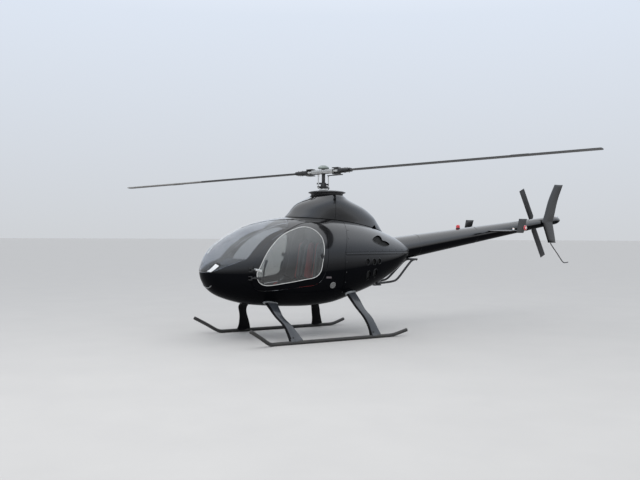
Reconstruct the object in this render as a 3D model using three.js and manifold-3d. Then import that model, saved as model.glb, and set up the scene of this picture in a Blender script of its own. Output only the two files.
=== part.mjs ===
// A light two-seat helicopter on skids, parked, in millimetres: +X towards the nose, +Y to port, +Z up.
// Each piece is built about the rotor mast, and the whole machine is then shifted so that its origin lies on
// the ground under the middle of its outline.
import * as THREE from 'three';
import { LoftGeometry } from 'three/addons/geometries/LoftGeometry.js';
import { mergeVertices } from 'three/addons/utils/BufferGeometryUtils.js';
import Module from 'manifold-3d';

const wasm = await Module();
wasm.setup();

// Driving dimensions
const OUTLINE_MIDDLE = 1587; // how far the middle of the whole outline lies behind the mast
const WALL = 18; // moulded cabin skin, door and cowl
const GLASS = 6;
const SEAM = 0.5; // half the gap between fixed panels
const DOOR_GAP = 6;
const POD_NOSE = 1861;
const POD_TAIL = -1440;
const SHOULDER_X = 300; // the skin's inner face keeps its station behind this
const ROTOR_RADIUS = 3812;
const BLADE_CHORD = 200;
const BLADE_THICK = 26;
const BLADE_ROOT = 440;
const HUB_HEIGHT = 2317;
const BLADE_AZIMUTH = 117.56; // degrees from the nose towards port
const TEETER_REST = 1.78; // degrees that the first blade stands above level
const TAIL_ROTOR_RADIUS = 640;
const TAIL_ROTOR_CHORD = 125;
const TAIL_ROTOR_AT = [-4466, -205, 1640];
const TAIL_BLADE_LEAN = 26.6; // degrees forward of upright
const SKID_RADIUS = 25;
const SKID_SIDES = 12;
const SKID_TRACK = 781; // from the middle to each skid's axis
const BOOM_FRONT = { x: -1180, z: 1192, radius: 187 };
const BOOM_REAR = { x: -4740, z: 1691, radius: 74 };
const BOOM_WALL = 8;
const HINGE_AT = { x: 1374, y: 480, heights: [850, 955] };

// The pod's sections from nose to tail: station, top, bottom, half width, height of the widest point, and how
// square its upper and lower halves are, 2 being an ellipse.
const POD_ROWS = [
  [1861, 940, 940, 0, 940, 2.0, 2.0],
  [1830, 1060, 790, 165, 930, 2.0, 2.0],
  [1740, 1215, 662, 290, 925, 2.0, 2.0],
  [1574, 1352, 570, 392, 930, 2.0, 2.1],
  [1290, 1507, 486, 480, 940, 2.0, 2.2],
  [980, 1603, 446, 533, 955, 2.1, 2.3],
  [640, 1655, 425, 556, 970, 2.2, 2.4],
  [300, 1680, 420, 560, 985, 2.3, 2.4],
  [-50, 1675, 450, 545, 1000, 2.3, 2.3],
  [-400, 1635, 545, 500, 1020, 2.2, 2.2],
  [-750, 1552, 655, 435, 1050, 2.1, 2.1],
  [-1050, 1448, 788, 350, 1090, 2.0, 2.0],
  [-1280, 1356, 936, 262, 1140, 2.0, 2.0],
  [-1440, 1272, 1072, 165, 1180, 2.0, 2.0],
];
const POD_SIDES = 28;
const POD_STEPS = 2; // sections between two rows

// Side-view outlines: station, height
const DOOR_OUTLINE = [
  [1362, 830], [1362, 940], [1318, 1050], [1232, 1180], [1125, 1290], [1000, 1375], [865, 1442], [690, 1518],
  [560, 1565], [400, 1588], [300, 1582], [232, 1545], [210, 1490], [228, 1400], [240, 1230], [262, 1050],
  [300, 900], [350, 800], [430, 745], [640, 715], [900, 690], [1150, 672], [1270, 690], [1340, 750],
];
const WINDOW_OUTLINE = [
  [1296, 905], [1268, 965], [1175, 1134], [1080, 1253], [918, 1390], [747, 1469],
  [540, 1522], [415, 1489], [325, 1385], [312, 1230], [345, 1060], [383, 914],
  [455, 848], [640, 813], [912, 773], [1170, 750], [1262, 795],
];
const WINDSHIELD_LOWER = [[1960, 905], [1850, 915], [1760, 952], [1690, 988], [1550, 1045], [1425, 1090]];
const WINDSHIELD_REAR = [[1400, 1112], [1297, 1225], [1198, 1315], [1075, 1400], [920, 1466], [790, 1506]];
const WINDSHIELD_TOP = [[768, 1522], [718, 1585], [690, 1640], [690, 1800], [1960, 1800]];
const COWL_SEAM = [[-20, 1130], [-170, 1620]]; // line between the cabin and the cowls behind it
const COWL_SPLIT = 1175; // height of the joint between the upper and lower cowls
const VENT_OUTLINE = [
  [-578, 1350], [-612, 1378], [-653, 1394], [-700, 1408], [-745, 1408], [-778, 1394], [-792, 1368],
  [-790, 1340], [-830, 1334], [-882, 1316], [-930, 1284], [-905, 1262], [-866, 1254], [-820, 1250],
  [-769, 1254], [-722, 1266], [-681, 1282], [-636, 1298], [-598, 1320],
];
// Round holes in the lower cowl: station, height, half width, half height
const COWL_HOLES = [
  [-431, 1040, 30, 42], [-561, 1038, 30, 42], [-664, 1043, 26, 38], [-477, 838, 34, 62], [-600, 868, 34, 58],
];

// Mast fairing by height: height, front, rear, half width
const FAIRING_ROWS = [
  [1380, 700, -1085, 240], [1500, 690, -1003, 246], [1600, 668, -928, 250], [1660, 622, -882, 254],
  [1720, 560, -812, 258], [1800, 492, -690, 261], [1850, 432, -576, 260], [1890, 358, -468, 256],
  [1930, 258, -364, 246], [1960, 171, -291, 231],
];
const FAIRING_SIDES = 24;
const FAIRING_SPLIT = -45;
const FAIRING_NOTCH = [[-660, 1440], [-668, 1484], [-800, 1566], [-880, 1440]];
const COLLAR_X = -60;
// Collar profile: radius, height
const COLLAR_PROFILE = [
  [231, 1961], [233, 1978], [246, 1996], [279, 2012], [279, 2021], [262, 2032], [190, 2042], [96, 2045],
  [96, 2034], [188, 2031], [256, 2020], [235, 1998], [221, 1978], [219, 1961],
];

// Leg's centre line from the belly to the skid: distance out, height, station, chord, thickness
const LEG_ROWS = {
  front: [
    [150, 570, 1000, 200, 34], [300, 508, 1006, 178, 34], [420, 452, 1022, 158, 32],
    [500, 400, 1026, 140, 31], [542, 350, 1012, 124, 30], [588, 300, 984, 118, 30],
    [638, 250, 952, 126, 30], [675, 200, 927, 142, 30], [708, 145, 906, 164, 29],
    [742, 92, 890, 186, 29], [768, 58, 882, 206, 34], [777, 34, 880, 214, 56],
  ],
  rear: [
    [250, 690, -235, 186, 34], [380, 596, -224, 172, 34], [500, 506, -221, 164, 32],
    [562, 450, -223, 152, 31], [608, 400, -234, 140, 30], [646, 350, -258, 138, 30],
    [682, 300, -286, 146, 30], [708, 250, -308, 150, 30], [728, 200, -326, 150, 30],
    [746, 145, -344, 158, 29], [762, 92, -358, 172, 29], [773, 58, -367, 188, 34], [778, 34, -370, 196, 56],
  ],
};
// Skid's axis: station, distance out, height above its straight part
const SKID_PATH = [
  [1600, 909, 202], [1440, 855, 110], [1290, 801, 18], [1240, 785, 2], [1190, 781, 0], [-600, 781, 0],
  [-680, 786, 8], [-890, 809, 66],
];

// Fin sections from the top: height, leading edge, chord
const FIN_ROWS = [
  [2316, -4683, 210], [2040, -4529, 232], [1775, -4427, 251], [1655, -4372, 262], [1300, -4527, 191],
];
const FIN_Y = 100;
const FIN_THICK = 26;
// Stinger's axis down from the fin's lower end: station, height
const STINGER_PATH = [
  [-4592, 1299.4], [-4592, 1284], [-4607, 1266], [-4756, 1114], [-4905, 962], [-4945, 948.4], [-5040, 956],
];
const STINGER_RADIUS = 9;
const STABILIZER = { x: -3105, z: 1497, span: 1228, chord: 245, thick: 22 };
// End plate from the bottom: height, leading edge, chord
const PLATE_ROWS = [[1462, -3228, 156], [1500, -3236, 162], [1540, -3245, 167], [1688, -3281, 179]];
const PLATE_THICK = 10;
const BEACON_AT = { x: -2550, radius: 34, height: 62 };

// Airfoil half-section: share of chord from the leading edge, share of half the thickness
const FOIL = [[0, 0], [0.04, 0.55], [0.14, 0.88], [0.3, 1], [0.62, 0.72], [1, 0.1]];

const degrees = Math.PI / 180;

function vector(x, y, z) {
  return new THREE.Vector3(x, y, z);
}

// Turns any closed geometry into a solid that can be joined and cut, with its faces pointing out.
function solid(geometry) {
  const bare = new THREE.BufferGeometry();
  bare.setAttribute('position', geometry.getAttribute('position'));
  bare.setIndex(geometry.index);
  const merged = mergeVertices(bare, 1e-3);
  const at = merged.getAttribute('position');
  const corner = (i) => vector().fromBufferAttribute(at, i);
  const faces = [];
  let volume = 0;
  for (let i = 0; i < merged.index.count; i += 3) {
    const [a, b, c] = [merged.index.getX(i), merged.index.getX(i + 1), merged.index.getX(i + 2)];
    if (a === b || b === c || a === c) continue;
    faces.push([a, b, c]);
    volume += corner(a).dot(corner(b).cross(corner(c)));
  }
  const triVerts = Uint32Array.from(faces.flatMap(([a, b, c]) => (volume > 0 ? [a, b, c] : [a, c, b])));
  const vertProperties = Float32Array.from(at.array);
  return new wasm.Manifold(new wasm.Mesh({ numProp: 3, vertProperties, triVerts }));
}

function geometryOf(manifold) {
  const mesh = manifold.getMesh();
  const geometry = new THREE.BufferGeometry();
  geometry.setAttribute('position', new THREE.BufferAttribute(Float32Array.from(mesh.vertProperties), 3));
  geometry.setIndex(Array.from(mesh.triVerts));
  return geometry;
}

function join(...solids) {
  return solids.reduce((all, next) => all.add(next));
}

// Two side distances in rising order.
function span(a, b) {
  return a < b ? [a, b] : [b, a];
}

function box(x0, x1, y0, y1, z0, z1) {
  const block = new THREE.BoxGeometry(x1 - x0, y1 - y0, z1 - z0);
  return solid(block.translate((x0 + x1) / 2, (y0 + y1) / 2, (z0 + z1) / 2));
}

// Upright round bar or disc from one height to another.
function round(x, y, z0, z1, radius, sides = 16, topRadius = radius) {
  const bar = new THREE.CylinderGeometry(topRadius, radius, z1 - z0, sides);
  return solid(bar.rotateX(Math.PI / 2).translate(x, y, (z0 + z1) / 2));
}

// Skin over rings of points, each ring turned the way that puts the faces outside.
function loft(sections, capStart = true) {
  const last = sections[sections.length - 1];
  const turn = vector(0, 0, 0);
  last.forEach((point, i) => turn.add(point.clone().cross(last[(i + 1) % last.length])));
  const sumOf = (ring) => ring.reduce((sum, point) => sum.add(point), vector(0, 0, 0));
  const centre = (ring) => sumOf(ring).divideScalar(ring.length);
  const run = centre(last).sub(centre(sections[sections.length - 2]));
  const rings = turn.dot(run) < 0 ? sections.map((ring) => [...ring].reverse()) : sections;
  return solid(new LoftGeometry(rings, { capStart, capEnd: true }));
}

// Side-view outline carried across the machine from one side distance to another.
function across(points, y0, y1) {
  const shape = new THREE.Shape(points.map(([x, z]) => new THREE.Vector2(x, z)));
  const plate = new THREE.ExtrudeGeometry(shape, { depth: y1 - y0, bevelEnabled: false });
  return solid(plate.rotateX(Math.PI / 2).translate(0, y1, 0));
}

function smooth(points, count, closed = true) {
  const curve = new THREE.CatmullRomCurve3(points.map(([x, z]) => vector(x, 0, z)), closed, 'centripetal');
  const found = curve.getPoints(count).map((p) => [p.x, p.z]);
  return closed ? found.slice(0, -1) : found;
}

// Moves a closed outline inwards by a distance.
function shrink(points, distance) {
  const turn = Math.sign(THREE.ShapeUtils.area(points.map(([x, z]) => ({ x, y: z }))));
  return points.map(([x, z], i) => {
    const before = points[(i + points.length - 1) % points.length];
    const after = points[(i + 1) % points.length];
    const run = [after[0] - before[0], after[1] - before[1]];
    const length = Math.hypot(...run);
    return [x - (turn * distance * run[1]) / length, z + (turn * distance * run[0]) / length];
  });
}

// Round tube along a path, its rings kept upright and never turned over from one to the next.
function tube(path, radius, sides) {
  let lastSide = null;
  const rings = path.map((point, i) => {
    const ahead = path[Math.min(i + 1, path.length - 1)];
    const behind = path[Math.max(i - 1, 0)];
    const run = ahead.clone().sub(behind).normalize();
    const up = Math.abs(run.z) > 0.95 ? vector(1, 0, 0) : vector(0, 0, 1);
    const side = run.clone().cross(up).normalize();
    if (lastSide && side.dot(lastSide) < 0) side.negate();
    lastSide = side;
    const lift = side.clone().cross(run);
    return Array.from({ length: sides }, (_, k) => {
      const a = ((k + 0.5) / sides) * 2 * Math.PI;
      const across = point.clone().addScaledVector(side, radius * Math.cos(a));
      return across.addScaledVector(lift, radius * Math.sin(a));
    });
  });
  return loft(rings);
}

// Closed airfoil ring: place(along, across) puts a chord point at its place.
function foilRing(chord, thickness, place) {
  const half = FOIL.map(([u, v]) => [u * chord, (v * thickness) / 2]);
  const lower = half.slice(1).reverse().map(([u, v]) => [u, -v]);
  return [...half, ...lower].map(([u, v]) => place(u, v));
}

// Pod

function podRow(position) {
  const first = POD_ROWS[0];
  const kept = (column) => column === 0 || column > 3;
  const mirrored = POD_ROWS[1].map((value, column) => (kept(column) ? value : 2 * first[column] - value));
  const last = POD_ROWS[POD_ROWS.length - 1];
  const beyond = last.map((value, column) => 2 * value - POD_ROWS[POD_ROWS.length - 2][column]);
  const rows = [mirrored, ...POD_ROWS, beyond];
  const span = Math.min(Math.floor(position), POD_ROWS.length - 2);
  const t = position - span;
  const [a, b, c, d] = rows.slice(span, span + 4);
  return b.map((_, i) => {
    const linear = (c[i] - a[i]) * t;
    const square = (2 * a[i] - 5 * b[i] + 4 * c[i] - d[i]) * t * t;
    const cube = (3 * b[i] - a[i] - 3 * c[i] + d[i]) * t ** 3;
    return 0.5 * (2 * b[i] + linear + square + cube);
  });
}

function podRing(row, inset) {
  const [station, top, bottom, half, waist, upper, lower] = row;
  const share = Math.max(0, (station - SHOULDER_X) / (POD_NOSE - SHOULDER_X));
  const x = station - inset * share;
  return Array.from({ length: POD_SIDES }, (_, k) => {
    const angle = (k / POD_SIDES) * 2 * Math.PI;
    const [c, s] = [Math.cos(angle), Math.sin(angle)];
    const power = 2 / (s >= 0 ? upper : lower);
    const moved = half > 0 ? inset : 0;
    const height = Math.max(0, (s >= 0 ? top - waist : waist - bottom) - moved);
    const y = Math.max(0, half - moved) * Math.sign(c) * Math.abs(c) ** power;
    return vector(x, y, waist + height * Math.sign(s) * Math.abs(s) ** power);
  });
}

// The pod's full shape with its surface moved inwards, or outwards below zero.
function pod(inset) {
  const count = (POD_ROWS.length - 1) * POD_STEPS;
  const rings = Array.from({ length: count + 1 }, (_, i) => podRing(podRow(i / POD_STEPS), inset));
  return loft(rings, false);
}

const podOuter = pod(0);
const podCover = pod(-SEAM);
const podInner = pod(WALL);
const podLining = pod(WALL + 4);
const tailCut = box(POD_TAIL - 50, POD_TAIL + 12, -400, 400, 800, 1500);
const skin = podOuter.subtract(podInner).subtract(tailCut);
const glassSkin = podOuter.subtract(pod(GLASS));

const doorCurve = smooth(DOOR_OUTLINE, 34);
const windowCurve = smooth(WINDOW_OUTLINE, 28);
const windshieldOutline = [
  ...smooth(WINDSHIELD_LOWER, 8, false), ...smooth(WINDSHIELD_REAR, 10, false), ...WINDSHIELD_TOP,
];

function behindSeam(shift) {
  const [low, high] = COWL_SEAM;
  const [foot, head] = [low[0] - shift, high[0] - shift];
  const line = [[foot, 300], [foot, low[1]], [head, high[1]], [head, 1900]];
  return across([...line, [-1700, 1900], [-1700, 300]], -700, 700);
}

const cabinShell = (() => {
  const hinges = [1, -1].flatMap((side) => HINGE_AT.heights.flatMap((z) => [
    round(HINGE_AT.x, side * HINGE_AT.y, z + 14, z + 27, 9, 10),
    round(HINGE_AT.x, side * HINGE_AT.y, z - 27, z - 14, 9, 10),
    box(HINGE_AT.x, HINGE_AT.x + 36, ...span(side * 425, side * HINGE_AT.y), z + 14, z + 27),
    box(HINGE_AT.x, HINGE_AT.x + 36, ...span(side * 425, side * HINGE_AT.y), z - 27, z - 14),
  ]));
  return join(skin, ...hinges)
    .subtract(behindSeam(-SEAM))
    .subtract(across(windshieldOutline, -700, 700))
    .subtract(across(doorCurve, -700, 700));
})();

const windshield = glassSkin.intersect(across(shrink(windshieldOutline, SEAM), -700, 700));
const windshieldStrip = pod(-5).subtract(podCover)
  .intersect(across(shrink(windshieldOutline, 3), -17, 17));

function door(side) {
  const [y0, y1] = side > 0 ? [1, 700] : [-700, -1];
  const panel = skin.intersect(across(shrink(doorCurve, DOOR_GAP), y0, y1));
  const straps = HINGE_AT.heights.flatMap((z) => [
    round(HINGE_AT.x, side * HINGE_AT.y, z - 13, z + 13, 9, 10),
    box(1300, 1350, ...span(side * 457, side * (HINGE_AT.y + 5)), z - 10, z + 10),
    box(1340, HINGE_AT.x, ...span(side * 467, side * (HINGE_AT.y + 5)), z - 10, z + 10),
  ]);
  return join(panel, ...straps).subtract(across(windowCurve, y0, y1));
}

function doorWindow(side) {
  const [y0, y1] = side > 0 ? [1, 700] : [-700, -1];
  return glassSkin.intersect(across(shrink(windowCurve, SEAM), y0, y1));
}

// Cowls behind the cabin

const boomRun = vector(BOOM_REAR.x - BOOM_FRONT.x, 0, BOOM_REAR.z - BOOM_FRONT.z);
function boomAt(x) {
  const t = (x - BOOM_FRONT.x) / boomRun.x;
  const radius = THREE.MathUtils.lerp(BOOM_FRONT.radius, BOOM_REAR.radius, t);
  return { z: BOOM_FRONT.z + boomRun.z * t, radius };
}

// Boom's round bar between two stations, its wall moved inwards by a distance.
function boomBar(x0, x1, inset, sides = 32) {
  return loft([x0, x1].map((x) => {
    const { z, radius } = boomAt(x);
    return Array.from({ length: sides }, (_, k) => {
      const a = (k / sides) * 2 * Math.PI;
      return vector(x, (radius - inset) * Math.cos(a), z + (radius - inset) * Math.sin(a));
    });
  }));
}

const cowls = skin.intersect(behindSeam(SEAM)).subtract(boomBar(-1150, -1600, -SEAM));
const vents = join(across(smooth(VENT_OUTLINE, 20), -700, -200), across(smooth(VENT_OUTLINE, 20), 200, 700));
const cowlHoles = COWL_HOLES.flatMap(([x, z, wide, high]) => {
  const ring = Array.from({ length: 12 }, (_, k) => {
    const a = (k / 12) * 2 * Math.PI;
    return [x + wide * Math.cos(a), z + high * Math.sin(a)];
  });
  return [across(ring, 200, 700), across(ring, -700, -200)];
});
const upperHalf = box(-1700, 200, -700, 700, COWL_SPLIT + SEAM, 1900);
const lowerHalf = box(-1700, 200, -700, 700, 300, COWL_SPLIT - SEAM);
const upperCowl = cowls.intersect(upperHalf).subtract(vents);
const lowerCowl = cowls.intersect(lowerHalf).subtract(join(...cowlHoles));

// Round cap on the port side below the cabin's rear corner, square to the skin there
const CAP_AT = { x: 161, y: 515, z: 727, radius: 46, slope: 21.8 };
const sideCap = solid(new THREE.CylinderGeometry(CAP_AT.radius - 5, CAP_AT.radius, 26, 24))
  .translate([0, -4, 0])
  .rotate([-CAP_AT.slope, 0, 0])
  .translate([CAP_AT.x, CAP_AT.y, CAP_AT.z])
  .subtract(podCover);

// Mast fairing and collar

function fairing(inset) {
  const rings = FAIRING_ROWS.map(([z, front, rear, half]) => Array.from({ length: FAIRING_SIDES }, (_, k) => {
    const a = (k / FAIRING_SIDES) * 2 * Math.PI;
    const [c, s] = [Math.cos(a), Math.sin(a)];
    const reach = c > 0 ? front - inset - COLLAR_X : COLLAR_X - rear - inset;
    return vector(COLLAR_X + reach * c, (half - inset) * s, z);
  }));
  return loft(rings);
}

const fairingShell = fairing(0)
  .subtract(fairing(12))
  .subtract(podCover)
  .subtract(across(FAIRING_NOTCH, -400, 400));
const fairingFront = fairingShell.intersect(box(FAIRING_SPLIT + SEAM, 900, -400, 400, 1300, 1960));
const fairingRear = fairingShell.intersect(box(-1300, FAIRING_SPLIT - SEAM, -400, 400, 1300, 1960));

function turned(profile, sides) {
  const points = [...profile, profile[0]].map(([radius, z]) => new THREE.Vector2(radius, z));
  return solid(new THREE.LatheGeometry(points, sides).rotateX(Math.PI / 2));
}

const collar = turned(COLLAR_PROFILE, 28)
  .translate([COLLAR_X, 0, 0])
  .subtract(round(0, 0, 1900, 2100, 44, 24));

// Cabin fittings

function inCabin(...solids) {
  return join(...solids).intersect(podLining);
}

const floor = inCabin(box(66, 1640, -600, 600, 500, 512));
const bulkhead = inCabin(box(42, 62, -600, 600, 430, 1640));
const SEAT_Y = 236;
const SEAT_HALF = 200;
const seatBase = inCabin(
  box(140, 640, -492, -14, 514, 650), box(140, 640, 14, 492, 514, 650), box(140, 600, -60, 60, 514, 560),
);
function seatPad(side) {
  return inCabin(box(146, 632, side * SEAT_Y - SEAT_HALF, side * SEAT_Y + SEAT_HALF, 652, 742));
}
function seatBack(side) {
  const profile = [[150, 752], [268, 752], [190, 1230], [168, 1330], [100, 1330], [90, 1230]];
  return across(profile, side * SEAT_Y - SEAT_HALF, side * SEAT_Y + SEAT_HALF);
}
const console_ = inCabin(
  across([[930, 514], [1420, 514], [1440, 900], [1330, 900], [960, 560]], -85, 85),
  across([[1265, 890], [1500, 890], [1530, 1010], [1420, 1090], [1290, 1085]], -235, 235),
).subtract(box(1280, 1320, -100, 100, 555, 595));
const stick = (y) => tube([vector(800, y, 540), vector(840, y, 760), vector(800, y, 1010)], 14, 8);
const cyclicSticks = join(
  stick(SEAT_Y), stick(-SEAT_Y), tube([vector(800, -SEAT_Y, 545), vector(800, SEAT_Y, 545)], 12, 8),
);
const lever = (y) => tube([vector(102, y, 700), vector(420, y, 775), vector(640, y, 860)], 12, 8);
const collectiveLevers = join(
  lever(452), lever(0), tube([vector(104, -8, 700), vector(104, 456, 700)], 12, 8),
);
const pedals = join(
  tube([vector(1300, -240, 575), vector(1300, 240, 575)], 10, 8),
  ...[228, 130, -130, -228].flatMap((y) => [
    box(1294, 1306, y - 8, y + 8, 575, 700),
    box(1288, 1300, y - 30, y + 30, 640, 720),
  ]),
);
const engine = box(-660, -140, -215, 215, 730, 1090);

// Tail

const stabilizerBar = (inset) => {
  const { x, z, span, chord, thick } = STABILIZER;
  return loft([-1, 1].map((side) => foilRing(chord - 2 * inset, thick - 2 * inset, (u, v) => (
    vector(x - inset - u, (side * (span - 2 * inset)) / 2, z + v)
  ))));
};
function endPlate(side) {
  return loft(PLATE_ROWS.map(([z, front, chord]) => foilRing(chord, PLATE_THICK, (u, v) => (
    vector(front - u, (side * STABILIZER.span) / 2 + v, z)
  ))));
}
const stabilizer = join(stabilizerBar(0), endPlate(1), endPlate(-1));
const tailBoom = boomBar(BOOM_FRONT.x, BOOM_REAR.x, 0)
  .subtract(boomBar(BOOM_FRONT.x + 20, BOOM_REAR.x + 12, BOOM_WALL))
  .subtract(stabilizerBar(-SEAM));
// Rear cap: distance behind the boom's end, share of the boom's radius there
const CAP_ROWS = [[1, 1], [45, 0.97], [90, 0.86], [130, 0.66], [165, 0.4], [188, 0.14]];
const tailCap = loft(CAP_ROWS.map(([back, share]) => Array.from({ length: 24 }, (_, k) => {
  const a = (k / 24) * 2 * Math.PI;
  const radius = BOOM_REAR.radius * share;
  return vector(BOOM_REAR.x - back, radius * Math.cos(a), BOOM_REAR.z + back * 0.06 + radius * Math.sin(a));
})));
const [tailX, tailY, tailZ] = TAIL_ROTOR_AT;
const gearbox = solid(new THREE.CylinderGeometry(46, 54, 84, 20).translate(tailX, 0, 0))
  .translate([0, -118, tailZ])
  .subtract(boomBar(-4300, -4600, -SEAM));
const finRings = FIN_ROWS.map(([z, front, chord]) => foilRing(chord, FIN_THICK, (u, v) => (
  vector(front - u, FIN_Y + v, z)
)));
const fin = join(
  loft(finRings),
  box(-4600, -4500, 40, FIN_Y, 1580, 1720),
).subtract(boomBar(-4300, -4700, -SEAM));
const stinger = tube(STINGER_PATH.map(([x, z]) => vector(x, FIN_Y, z)), STINGER_RADIUS, 8);
const beaconFoot = boomAt(BEACON_AT.x);
const beaconZ = beaconFoot.z + beaconFoot.radius;
const beaconTop = beaconZ + BEACON_AT.height;
const beacon = join(
  round(BEACON_AT.x, 0, beaconZ - 20, beaconTop - 16, BEACON_AT.radius, 16),
  round(BEACON_AT.x, 0, beaconTop - 16, beaconTop, BEACON_AT.radius, 16, 16),
).subtract(boomBar(BEACON_AT.x + 90, BEACON_AT.x - 90, -SEAM));
function lamp(x, y, z, radius, squash = 1) {
  return solid(new THREE.SphereGeometry(radius, 12, 8).scale(1, squash, 1.2).translate(x, y, z));
}
const lampOut = STABILIZER.span / 2 + 9;
const navPort = lamp(-3412, lampOut, 1542, 36, 0.62).subtract(endPlate(1));
const navStarboard = lamp(-3412, -lampOut, 1542, 36, 0.62).subtract(endPlate(-1));
const tailLight = round(-4860, 0, 1700, 1773, 17, 12, 11).subtract(tailCap.translate([0, 0, SEAM]));

// Bent tubes from the belly to the boom, with the bracket under the boom that joins them.
const bracePath = (side) => [
  vector(-820, side * 150, 700), vector(-1160, side * 130, 728), vector(-1230, side * 122, 752),
  vector(-1545, side * 86, 1030), vector(-1600, side * 80, 1046),
];
const braces = join(
  ...[1, -1].map((side) => tube(bracePath(side), 17, 10)),
  box(-1640, -1500, -110, 110, 1036, 1066),
).subtract(podCover).subtract(boomBar(-1300, -1800, -SEAM));

// Landing gear

const skidTop = (z) => SKID_RADIUS * Math.cos(Math.PI / SKID_SIDES) + z;
function skid(side, radius) {
  return tube(SKID_PATH.map(([x, y, z]) => vector(x, side * y, skidTop(z))), radius, SKID_SIDES);
}
function leg(side, rows) {
  const rings = rows.map(([out, z, station, chord, thick], i) => {
    const next = rows[Math.min(i + 1, rows.length - 1)];
    const past = rows[Math.max(i - 1, 0)];
    const run = new THREE.Vector2(next[0] - past[0], next[1] - past[1]).normalize();
    return foilRing(chord, thick, (u, v) => (
      vector(station + chord * 0.5 - u, side * (out - v * run.y), z + v * run.x)
    ));
  });
  return loft(rings).subtract(podCover).subtract(skid(side, SKID_RADIUS + SEAM));
}

// Rotor mast and controls

const TEETER_AZIMUTH = BLADE_AZIMUTH - 90;
const LINK_OUT = 140;
const sleeve = turned([[34, 2047], [66, 2047], [66, 2068], [58, 2076], [34, 2076]], 24);
const mast = join(
  round(0, 0, 1890, 2362, 25, 16),
  turned([[0, 2362], [60, 2362], [78, 2369], [76, 2378], [58, 2391], [30, 2400], [0, 2402]], 20),
  solid(new THREE.CylinderGeometry(10, 10, 104, 12).translate(0, 0, 0)).rotate([0, 0, TEETER_AZIMUTH - 90])
    .translate([0, 0, HUB_HEIGHT]),
);
function linkAt(side) {
  const a = TEETER_AZIMUTH * degrees;
  return [side * LINK_OUT * Math.cos(a), side * LINK_OUT * Math.sin(a)];
}
const swashplate = join(
  turned([[25.5, 2082], [66, 2082], [66, 2110], [40, 2116], [40, 2160], [25.5, 2164]], 24),
  box(-152, 152, -14, 14, 2084, 2102).rotate([0, 0, TEETER_AZIMUTH]),
  box(-106, -30, -13, 13, 2140, 2164).rotate([0, 0, BLADE_AZIMUTH]),
  box(30, 82, -13, 13, 2120, 2144).rotate([0, 0, BLADE_AZIMUTH]),
  ...[1, -1].flatMap((side) => [
    round(...linkAt(side), 2066, 2270, 6, 8), round(...linkAt(side), 2252, 2276, 12, 10),
  ]),
).subtract(round(0, 0, 2070, 2200, 25.5, 16));

// Teetering head, drawn along X about the hub's centre, the first blade to +X and its leading edge to +Y.
const HUB_HALF = 172;
const hub = join(box(-HUB_HALF, HUB_HALF, -52, 52, -28, 26), box(-HUB_HALF, HUB_HALF, -60, 60, -6, 6))
  .subtract(box(-96, 96, -36, 36, -60, 60))
  .subtract(solid(new THREE.CylinderGeometry(11, 11, 200, 12)));
// Grip from its root: distance out, chord, thickness
const GRIP_ROWS = [
  [HUB_HALF + 1, 90, 92], [182, 96, 100], [262, 96, 100],
  [274, 92, 72], [340, 112, 66], [BLADE_ROOT - 2, 150, 52],
];
const gripBase = loft(GRIP_ROWS.map(([out, wide, thick]) => Array.from({ length: 12 }, (_, k) => {
  const a = ((k + 0.5) / 12) * 2 * Math.PI;
  return vector(out, (wide / 2) * Math.cos(a), (thick / 2) * Math.sin(a));
})));
const horn = join(
  box(196, 232, 20, 158, -34, -22), box(-14, 232, 128, 158, -34, -22), box(196, 232, 0, 46, -34, 10),
);
const grip = gripBase.add(horn);
const BLADE_ROWS = [[BLADE_ROOT, 150], [520, 176], [600, BLADE_CHORD], [ROTOR_RADIUS, BLADE_CHORD]];
const blade = loft(BLADE_ROWS.map(([out, chord]) => foilRing(chord, BLADE_THICK, (u, v) => (
  vector(out, chord * 0.35 - u, v)
))));

// Tail rotor, drawn about its hub with its blades along Z and its shaft along Y.
const TAIL_BLADE_ROWS = [
  [54, 60, 26], [110, TAIL_ROTOR_CHORD, 16], [TAIL_ROTOR_RADIUS, TAIL_ROTOR_CHORD, 12],
];
function tailBlade(way) {
  return loft(TAIL_BLADE_ROWS.map(([out, chord, thick]) => foilRing(chord, thick, (u, v) => (
    vector(way * (chord * 0.35 - u), v, way * out)
  ))));
}
const tailRotor = join(
  solid(new THREE.CylinderGeometry(40, 40, 46, 16)),
  solid(new THREE.CylinderGeometry(15, 15, 66, 12).translate(0, 8, 0)),
  box(-24, 24, -14, 14, -80, 80),
  tailBlade(1),
  tailBlade(-1),
);

// Finishes

function finish(color, roughness, metalness) {
  return () => new THREE.MeshStandardMaterial({ color, roughness, metalness });
}
const blackPaint = finish(0x0c0d10, 0.18, 0);
const bladePaint = finish(0x17181b, 0.42, 0);
const darkMetal = finish(0x1d1e21, 0.45, 0.7);
const silver = finish(0xa9a9a4, 0.35, 0.9);
const castAlloy = finish(0x7c7f82, 0.5, 0.8);
const legPaint = finish(0x2b3442, 0.35, 0.1);
const skidPaint = finish(0x1b1d21, 0.5, 0.2);
const clearPlastic = () => new THREE.MeshStandardMaterial({
  color: 0xa9b3b8, roughness: 0.05, transparent: true, opacity: 0.3,
});
const cloth = finish(0x2a2623, 0.9, 0);
const trim = finish(0x1c1c1d, 0.75, 0);
const redLens = finish(0xb01818, 0.2, 0);
const greenLens = finish(0x14803c, 0.2, 0);
const clearLens = finish(0xe4e6e2, 0.15, 0);

const machine = new THREE.Group();
machine.position.x = OUTLINE_MIDDLE;

function place(parent, name, shape, material) {
  const piece = new THREE.Mesh(geometryOf(shape), material());
  piece.name = name;
  parent.add(piece);
  return piece;
}

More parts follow.
